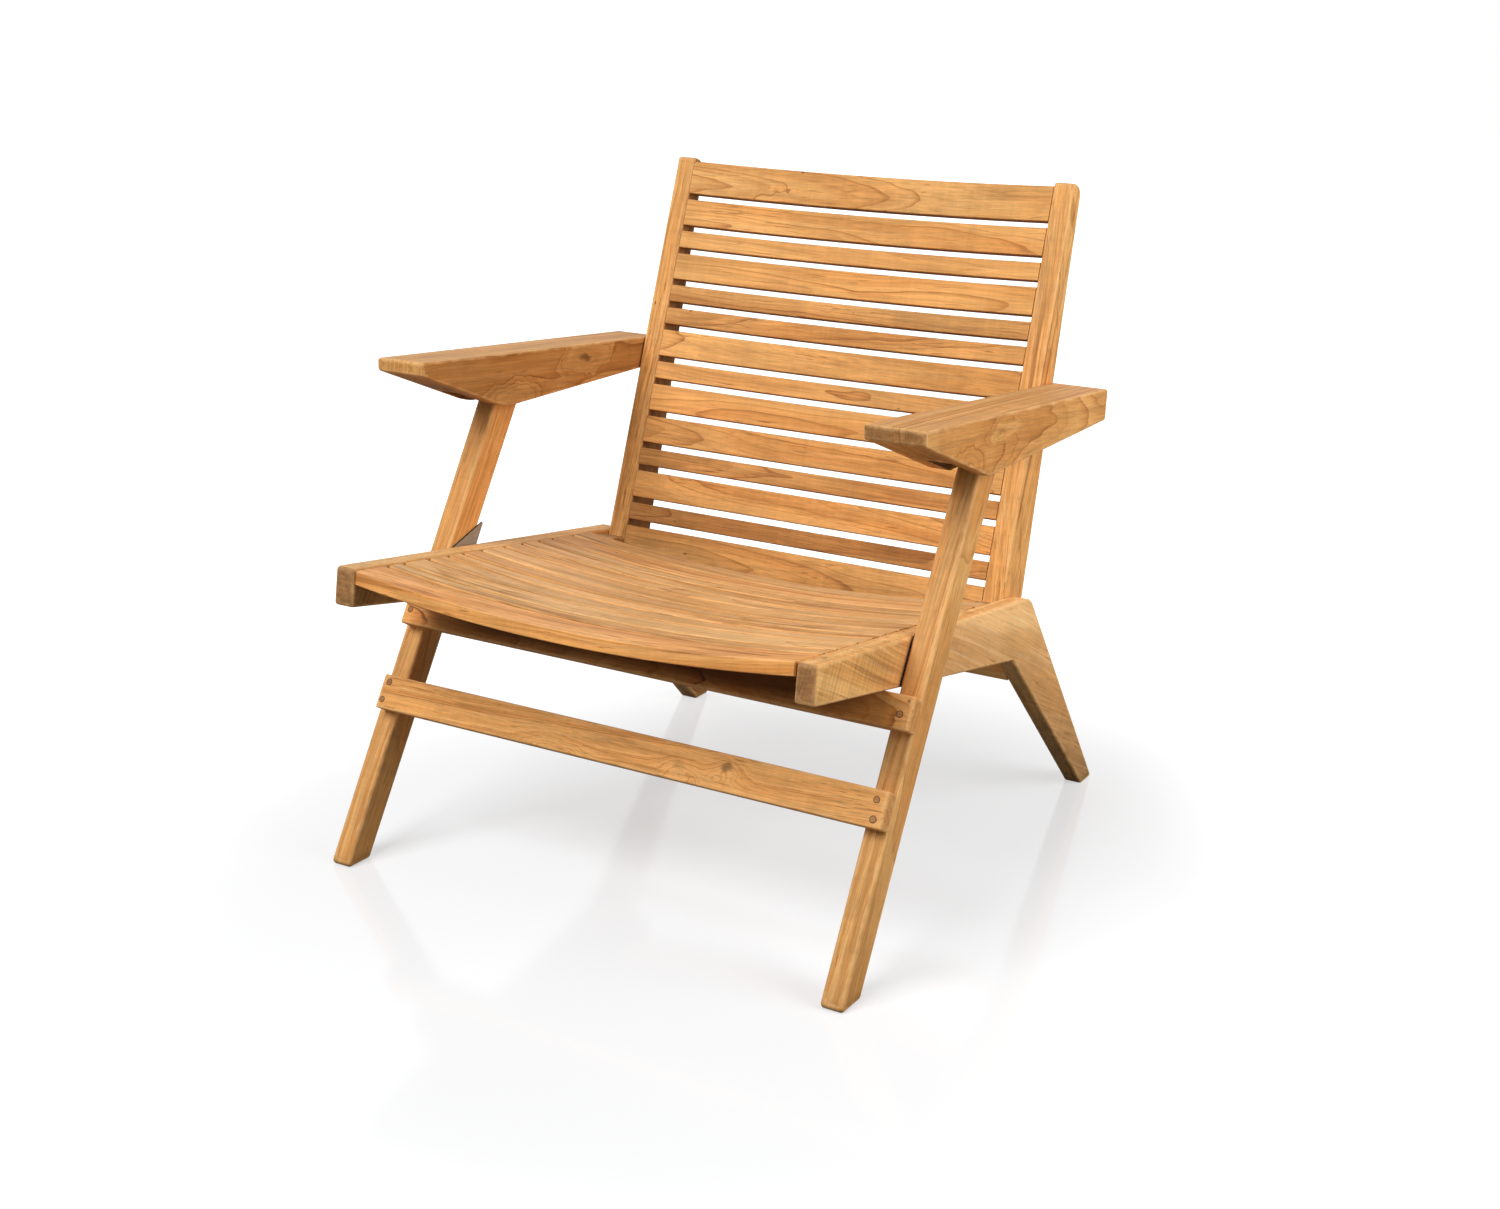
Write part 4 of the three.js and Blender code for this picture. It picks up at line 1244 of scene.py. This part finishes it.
class ARMCHAIR_OT_legs(bpy.types.Operator):
    """Two front legs with rounded tops, and the two stretchers across them"""

    bl_idname = "armchair.legs"
    bl_label = "Front legs and stretchers"

    def execute(self, context):
        edge = context.scene.armchair_sizes.board_edge / MM
        top, top_round = ARM_PIVOT_RUN + LEG_DEPTH / 2, LEG_DEPTH / 2 - 0.3
        lean = (0, math.sin(LEG_LEAN), math.cos(LEG_LEAN))
        for side, seed, tone in (("left", 44, -0.15), ("right", 42, -0.1)):
            foot, swell = LEG_SWELL[side]
            corners = [
                (0, 0, LEG_CORNER),
                (LEG_DEPTH + foot, (LEG_DEPTH + foot) * math.tan(LEG_LEAN), LEG_CORNER),
                (LEG_DEPTH + swell, ARM_PIVOT_RUN - SWELL_END, LEG_CORNER),
                (LEG_DEPTH, ARM_PIVOT_RUN - 5, 2),
                (LEG_DEPTH, top, top_round),
                (0, top, top_round),
            ]
            inner, inner_top, outer = LEG_FULLNESS[side]
            board = Board(corners, LEG_INNER - inner, LEG_OUTER + outer, edge * 1.6)
            # the leg's inner half grows thicker towards its top
            middle, growth = (LEG_INNER + LEG_OUTER) / 2, inner_top - inner
            board.points = [(u, v, w - growth * v / top if w < middle else w) for u, v, w in board.points]
            timber = Timber(lean, (1, 0, 0), seed, tone, centre=(0, -200, 250))
            board_piece(
                "teak_front_leg_" + side, board, LEG_PLACE, timber, finishes()["teak"],
                "front_legs", ["front_leg_" + side], side == "right",
            )
        lower_reach = LEG_OUTER - LOWER_STRETCHER_INSET
        # Each stretcher's last number is its share of the seat's painted shadow; only the upper one is under
        # the seat.
        for name, run, reach, fuller, seed, tone, shade in (
            ("lower_stretcher", LOWER_STRETCHER_RUN, lower_reach, LOWER_STRETCHER_FULLNESS, 51, 0.12, None),
            ("upper_stretcher", UPPER_STRETCHER_RUN, LEG_OUTER, 0, 52, -0.1, 0.97),
        ):
            right, left = STRETCHER_SHIFT[0] - reach, reach + STRETCHER_SHIFT[1]
            back, front = -REST_GAP, -REST_GAP - STRETCHER_THICKNESS
            plan = [(right, front, 4), (left, front, 4), (left, back, 2), (right, back, 2)]
            board = Board(plan, run - fuller, run + STRETCHER_WIDTH + fuller, 2.0)
            timber = Timber(
                (1, 0, 0), (0, -math.cos(LEG_LEAN), math.sin(LEG_LEAN)), seed, tone, 0.4,
                heart=(4, 20), tilt=(0.01, 0.055), centre=(0, -200, 250), ends=0.35,
            )
            board_piece(
                "teak_" + name, board, LEG_PLACE @ ACROSS, timber, finishes()["stretcher"],
                "front_legs", [name], shaded=shade,
            )
        return {"FINISHED"}


class ARMCHAIR_OT_plugs(bpy.types.Operator):
    """Wood plugs over the screws that hold the stretchers on the legs"""

    bl_idname = "armchair.plugs"
    bl_label = "Stretcher plugs"

    def execute(self, context):
        radius = context.scene.armchair_sizes.plug_radius
        places = [metres((across, run, 0)) for across, run, _ in PLUGS]
        points = {"places": places, "width": [share for *_, share in PLUGS]}
        values = {"Radius": radius, "Rise": PLUG_RISE * MM, "Seed": 5, "Material": finishes()["plug"]}
        face = LEG_PLACE @ facing_front(PLUG_DEPTH)
        plugs = run_tree("teak_stretcher_plugs", plug_tree(), points, values, face)
        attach(plugs, "front_legs")
        return {"FINISHED"}


class ARMCHAIR_OT_leg_plates(bpy.types.Operator):
    """Two metal plates between the front legs and the side frames"""

    bl_idname = "armchair.leg_plates"
    bl_label = "Leg plates"

    def execute(self, context):
        back, low, tip = LEG_DEPTH + PLATE_REACH, LEG_PIVOT_RUN - PLATE_FOOT, LEG_PIVOT_RUN + PLATE_TIP
        front_tip = tip - (back - PLATE_FRONT) * math.tan(PLATE_SLANT)
        corners = [(PLATE_FRONT, low, 2), (back, low, 2), (back, tip, 2), (PLATE_FRONT, front_tip, 2)]
        for side, seed in (("left", 61), ("right", 62)):
            board = Board(corners, *PLATE_FACES[side], PLATE_EDGE)
            board_piece(
                "metal_leg_plate_" + side, board, LEG_PLACE, Timber((1, 0, 0), (0, 0, 1), seed),
                finishes()["plate"], "front_legs", ["leg_plate_" + side], side == "right",
            )
        return {"FINISHED"}


class ARMCHAIR_OT_back_frame(bpy.types.Operator):
    """Two stiles that carry the back, and its fourteen dished slats"""

    bl_idname = "armchair.back_frame"
    bl_label = "Stiles and back slats"

    def execute(self, context):
        sizes = context.scene.armchair_sizes
        front, foot, tail = STILE_SEAT, STILE_SEAT + STILE_FOOT_DEPTH, -STILE_TAIL
        toe, toe_round = TOE_RADIUS, TOE_RADIUS - 0.3
        corners = [
            (front, BACK_RISE, 4),
            (front + STILE_TOP_DEPTH, BACK_RISE, STILE_TOP_ROUND),
            (foot, tail + STILE_TAIL_TRIM, 16),
            (foot - STILE_TAIL_TRIM, tail, 16),
            (front, tail, 2),
            (0, -toe, 4),
            (-toe, -toe, toe_round),
            (-toe, toe, toe_round),
            (front, toe, 3),
        ]
        board = Board(corners, STILE_INNER, STILE_OUTER, 2.0)
        lean = (0, math.sin(BACK_LEAN), math.cos(BACK_LEAN))
        for side, seed, tone in (("left", 71, 0.02), ("right", 72, 0.0)):
            timber = Timber(lean, (1, 0, 0), seed, tone, centre=(0, 180, 500))
            board_piece(
                "teak_back_stile_" + side, board, BACK_PLACE, timber, finishes()["stile"],
                "back_frame", ["back_stile_" + side], side == "right", inner_painted_shade=0.75,
            )

        draw = random.Random(57)
        tones = []
        for light in reversed(BACK_LIGHTNESS):
            lightness = light + draw.uniform(-0.06, 0.06)
            tones.append((lightness, draw.uniform(-0.2, 0.4) - 0.5 * light, draw.random()))
        gap = sizes.back_slat_gap
        rows = sum(BACK_WIDTHS[kind] for kind in BACK_PATTERN) + (len(BACK_PATTERN) - 1) * gap / MM
        start = BACK_RISE - BACK_TOP_SHOW - rows
        points = slat_points(BACK_PATTERN[::-1], BACK_WIDTHS, gap, start, tones)
        values = {
            "Half Span": (STILE_INNER - REST_GAP) * MM,
            "Thickness": BACK_SLAT_THICKNESS * MM,
            "Edge": BACK_SLAT_EDGE * MM,
            "Dip": sizes.back_dip,
            "Steps": sizes.slat_steps,
            "Seed": 6,
            "Material": finishes()["back"],
        }
        face = BACK_PLACE @ facing_front(STILE_SEAT)
        slats = run_tree("teak_back_slats", slat_tree_once(), points, values, face)
        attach(slats, "back_frame")
        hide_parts(*["back_slat_%02d" % (i + 1) for i in range(len(BACK_PATTERN))])
        return {"FINISHED"}


class ARMCHAIR_OT_armrests(bpy.types.Operator):
    """Two wedge-shaped armrests, each with a slot underneath for the front leg"""

    bl_idname = "armchair.armrests"
    bl_label = "Armrests"

    def execute(self, context):
        half, folded = LEG_DEPTH / 2 + SLOT_PLAY, FOLD - LEG_LEAN
        front_low = ARM_FRONT_RISE - ARM_FRONT_HEIGHT
        slope = (front_low - ARM_APEX) / (ARM_FRONT_REACH - ARM_APEX_REACH)
        slot_front = (SLOT_FRONT, ARM_APEX + (-SLOT_FRONT - ARM_APEX_REACH) * slope + SLOT_STEP)
        # the slot's ceiling touches the leg's round top from where it lies folded to the slot's front
        ceiling = math.atan2(slot_front[1], slot_front[0]) + math.tau
        ceiling -= math.acos(half / math.hypot(*slot_front))
        arc = [folded + (ceiling - folded) * k / SLOT_ARC_STEPS for k in range(SLOT_ARC_STEPS + 1)]
        arc = [(half * math.cos(angle), half * math.sin(angle)) for angle in arc]
        edge = context.scene.armchair_sizes.arm_edge / MM
        for side, seed, tone, edges, belly, wood, ends in (
            ("left", 85, -0.3, edge, (ARM_APEX, 16), "near_arm", 0.8),
            ("right", 83, -0.25, (edge, edge * 3.6), (ARM_APEX - 1.3, 90), "far_arm", 0.05),
        ):
            tail = (ARM_SPAN[0] + ARM_TAIL_REACH, ARM_SPAN[1] + ARM_TAIL_RISE)
            corners = [
                (-ARM_FRONT_REACH, ARM_FRONT_RISE, ARM_CORNER),
                (-ARM_FRONT_REACH, front_low, ARM_CORNER),
                (-ARM_APEX_REACH, *belly),
                (tail[0] - ARM_REAR_LEAN, tail[1] - ARM_REAR_HEIGHT, ARM_CORNER),
                (*tail, ARM_CORNER),
            ]
            board = Board(corners, ARM_INNER, ARM_OUTER, edges)
            # the leg's deeper part lies here once it is folded
            swell, sine, cosine = half + LEG_SWELL[side][1], math.sin(folded), math.cos(folded)
            elbow = (SWELL_END * sine + swell * cosine, swell * sine - SWELL_END * cosine)
            slot_rear = elbow[0] + (elbow[1] - SLOT_FLOOR) * math.tan(folded)
            shape = [(SLOT_FRONT, SLOT_FLOOR), (slot_rear, SLOT_FLOOR), elbow, *arc, slot_front]
            _, inner, outer = LEG_FULLNESS[side]
            opening = prism(shape, LEG_INNER - inner - SLOT_PLAY, LEG_OUTER + outer + SLOT_PLAY)
            timber = Timber((0, 1, -0.06), (1, 0, 0.3), seed, tone, centre=(0, 0, 560), ends=ends)
            board_piece(
                "teak_armrest_" + side, board, ARM_PLACE, timber, finishes()[wood],
                "armrest_" + side, ["armrest_" + side],
                side == "right", opening, inner_painted_shade=0.4,
            )
        return {"FINISHED"}


class ARMCHAIR_OT_fittings(bpy.types.Operator):
    """Steel finish for the pivot pins and spacers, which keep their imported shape"""

    bl_idname = "armchair.fittings"
    bl_label = "Pins and spacers"

    def execute(self, context):
        steel = finishes()["pin"]
        for name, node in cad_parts.items():
            if "pin" in name or "spacer" in name:
                node.data.materials.clear()
                node.data.materials.append(steel)
        return {"FINISHED"}


class ARMCHAIR_OT_studio(bpy.types.Operator):
    """Pale floor, white surround, soft lamps and the camera"""

    bl_idname = "armchair.studio"
    bl_label = "Studio"

    def execute(self, context):
        scene = context.scene
        studio = scene.armchair_studio
        scene.view_settings.view_transform = "Standard"
        make_floor(studio)
        make_world(studio)
        make_lamp("Main lamp", (-1.3, -3.7, 4.3), (3.6, 2.8), studio.key_power)
        make_lamp("Side lamp", (2.1, 0.1, 1.2), (1.4, 1.4), studio.fill_power)
        make_camera(scene)
        return {"FINISHED"}


# Studio

LAMP_TARGET = Vector((0, 0, 0.4))
FLOOR_REACH = 12.0
# The floor glows evenly under the chair and turns white between two distances from this place.
GLOW_MIDDLE = (0.1, -0.2, 0.0)
GLOW_REACH = (0.5, 1.2)
WHITE = (1, 1, 1, 1)


def make_lamp(name, place, size, power):
    """A rectangular lamp that looks at the chair."""
    data = bpy.data.lights.new(name, "AREA")
    data.shape = "RECTANGLE"
    data.size, data.size_y = size
    data.energy = power
    lamp = new_object(name, data)
    lamp.location = place
    lamp.rotation_euler = (LAMP_TARGET - Vector(place)).to_track_quat("-Z", "Y").to_euler()


def make_floor(studio):
    """A wide pale floor that takes the chair's shadow and a faint reflection."""
    work = bmesh.new()
    bmesh.ops.create_grid(work, x_segments=8, y_segments=8, size=FLOOR_REACH)
    mesh = bpy.data.meshes.new("studio_floor")
    work.to_mesh(mesh)
    work.free()
    floor = new_object("studio_floor", mesh)
    material, n = new_material("Studio floor")
    seen = n.out("ShaderNodeLightPath", output="Is Camera Ray")
    place = n.place()
    glow = n.ramp(n.length(place - GLOW_MIDDLE), *GLOW_REACH, studio.floor_glow, 1.0)
    inputs = {
        "Base Color": n.mix(seen, studio.floor_bounce, studio.floor_colour),
        "Roughness": n.ramp(n.noise(place * 3.0), 0.3, 0.7, 0.1, 0.13),
        "Specular IOR Level": 0.25,
        "Emission Color": WHITE,
        "Emission Strength": seen * glow,
    }
    shader = n.out("ShaderNodeBsdfPrincipled", inputs=inputs)
    n.add("ShaderNodeOutputMaterial", inputs={"Surface": shader})
    mesh.materials.append(material)


def make_world(studio):
    """White to the eye and in reflections, and an even light for everything else."""
    world = bpy.data.worlds.new("Studio surround")
    world.use_nodes = True
    world.node_tree.nodes.clear()
    n = Nodes(world.node_tree)
    path = n.add("ShaderNodeLightPath")
    rays = ("Is Camera Ray", "Is Glossy Ray", "Is Transmission Ray")
    camera, glossy, through = (Wire(n, path.outputs[key]) for key in rays)
    direct = n.most(camera, n.most(glossy, through))
    strength = direct * (1.0 - studio.sky_strength) + studio.sky_strength
    background = n.out("ShaderNodeBackground", inputs={"Color": WHITE, "Strength": strength})
    n.add("ShaderNodeOutputWorld", inputs={"Surface": background})
    bpy.context.scene.world = world


def make_camera(scene):
    """The camera, at the angle and distance worked out from the chair's straight edges."""
    sine, cosine = math.sin(CAMERA_AZIMUTH), math.cos(CAMERA_AZIMUTH)
    flat, high = math.cos(CAMERA_ELEVATION), math.sin(CAMERA_ELEVATION)
    back = Vector((sine * flat, -cosine * flat, high))
    level = Vector((cosine, sine, 0))
    upright = back.cross(level)
    right = level * math.cos(CAMERA_ROLL) + upright * math.sin(CAMERA_ROLL)
    up = upright * math.cos(CAMERA_ROLL) - level * math.sin(CAMERA_ROLL)
    data = bpy.data.cameras.new("Camera")
    data.sensor_width, data.sensor_fit = CAMERA_WIDTH, "HORIZONTAL"
    data.lens = CAMERA_LENS
    data.shift_x, data.shift_y = CAMERA_SHIFT
    data.clip_start, data.clip_end = 0.05, 100
    camera = new_object("Camera", data)
    turned = Matrix((right, up, back)).transposed().to_4x4()
    camera.matrix_world = Matrix.Translation(CAMERA_PLACE) @ turned
    scene.camera = camera


# Panel and registration

OPERATORS = (
    ARMCHAIR_OT_side_frames,
    ARMCHAIR_OT_seat,
    ARMCHAIR_OT_legs,
    ARMCHAIR_OT_plugs,
    ARMCHAIR_OT_leg_plates,
    ARMCHAIR_OT_back_frame,
    ARMCHAIR_OT_armrests,
    ARMCHAIR_OT_fittings,
    ARMCHAIR_OT_studio,
)
GROUPS = {
    "armchair_sizes": ArmchairSizes,
    "armchair_finish": ArmchairFinish,
    "armchair_studio": ArmchairStudio,
}


class ARMCHAIR_PT_panel(bpy.types.Panel):
    """Buttons for the chair's pieces and their sizes"""

    bl_idname = "ARMCHAIR_PT_panel"
    bl_label = "Folding teak armchair"
    bl_space_type = "VIEW_3D"
    bl_region_type = "UI"
    bl_category = "Armchair"

    def draw(self, context):
        for name, group in GROUPS.items():
            box = self.layout.box()
            for setting in group.__annotations__:
                box.prop(getattr(context.scene, name), setting)
        for operator in OPERATORS:
            self.layout.operator(operator.bl_idname)


CLASSES = (*GROUPS.values(), *OPERATORS, ARMCHAIR_PT_panel)


def register():
    for item in CLASSES:
        bpy.utils.register_class(item)
    for name, group in GROUPS.items():
        setattr(bpy.types.Scene, name, PointerProperty(type=group))


def unregister():
    for name in GROUPS:
        delattr(bpy.types.Scene, name)
    for item in reversed(CLASSES):
        bpy.utils.unregister_class(item)


def main():
    """Builds the whole chair and its studio."""
    register()
    for operator in OPERATORS:
        family, name = operator.bl_idname.split(".")
        getattr(getattr(bpy.ops, family), name)()


if __name__ == "__main__":
    main()
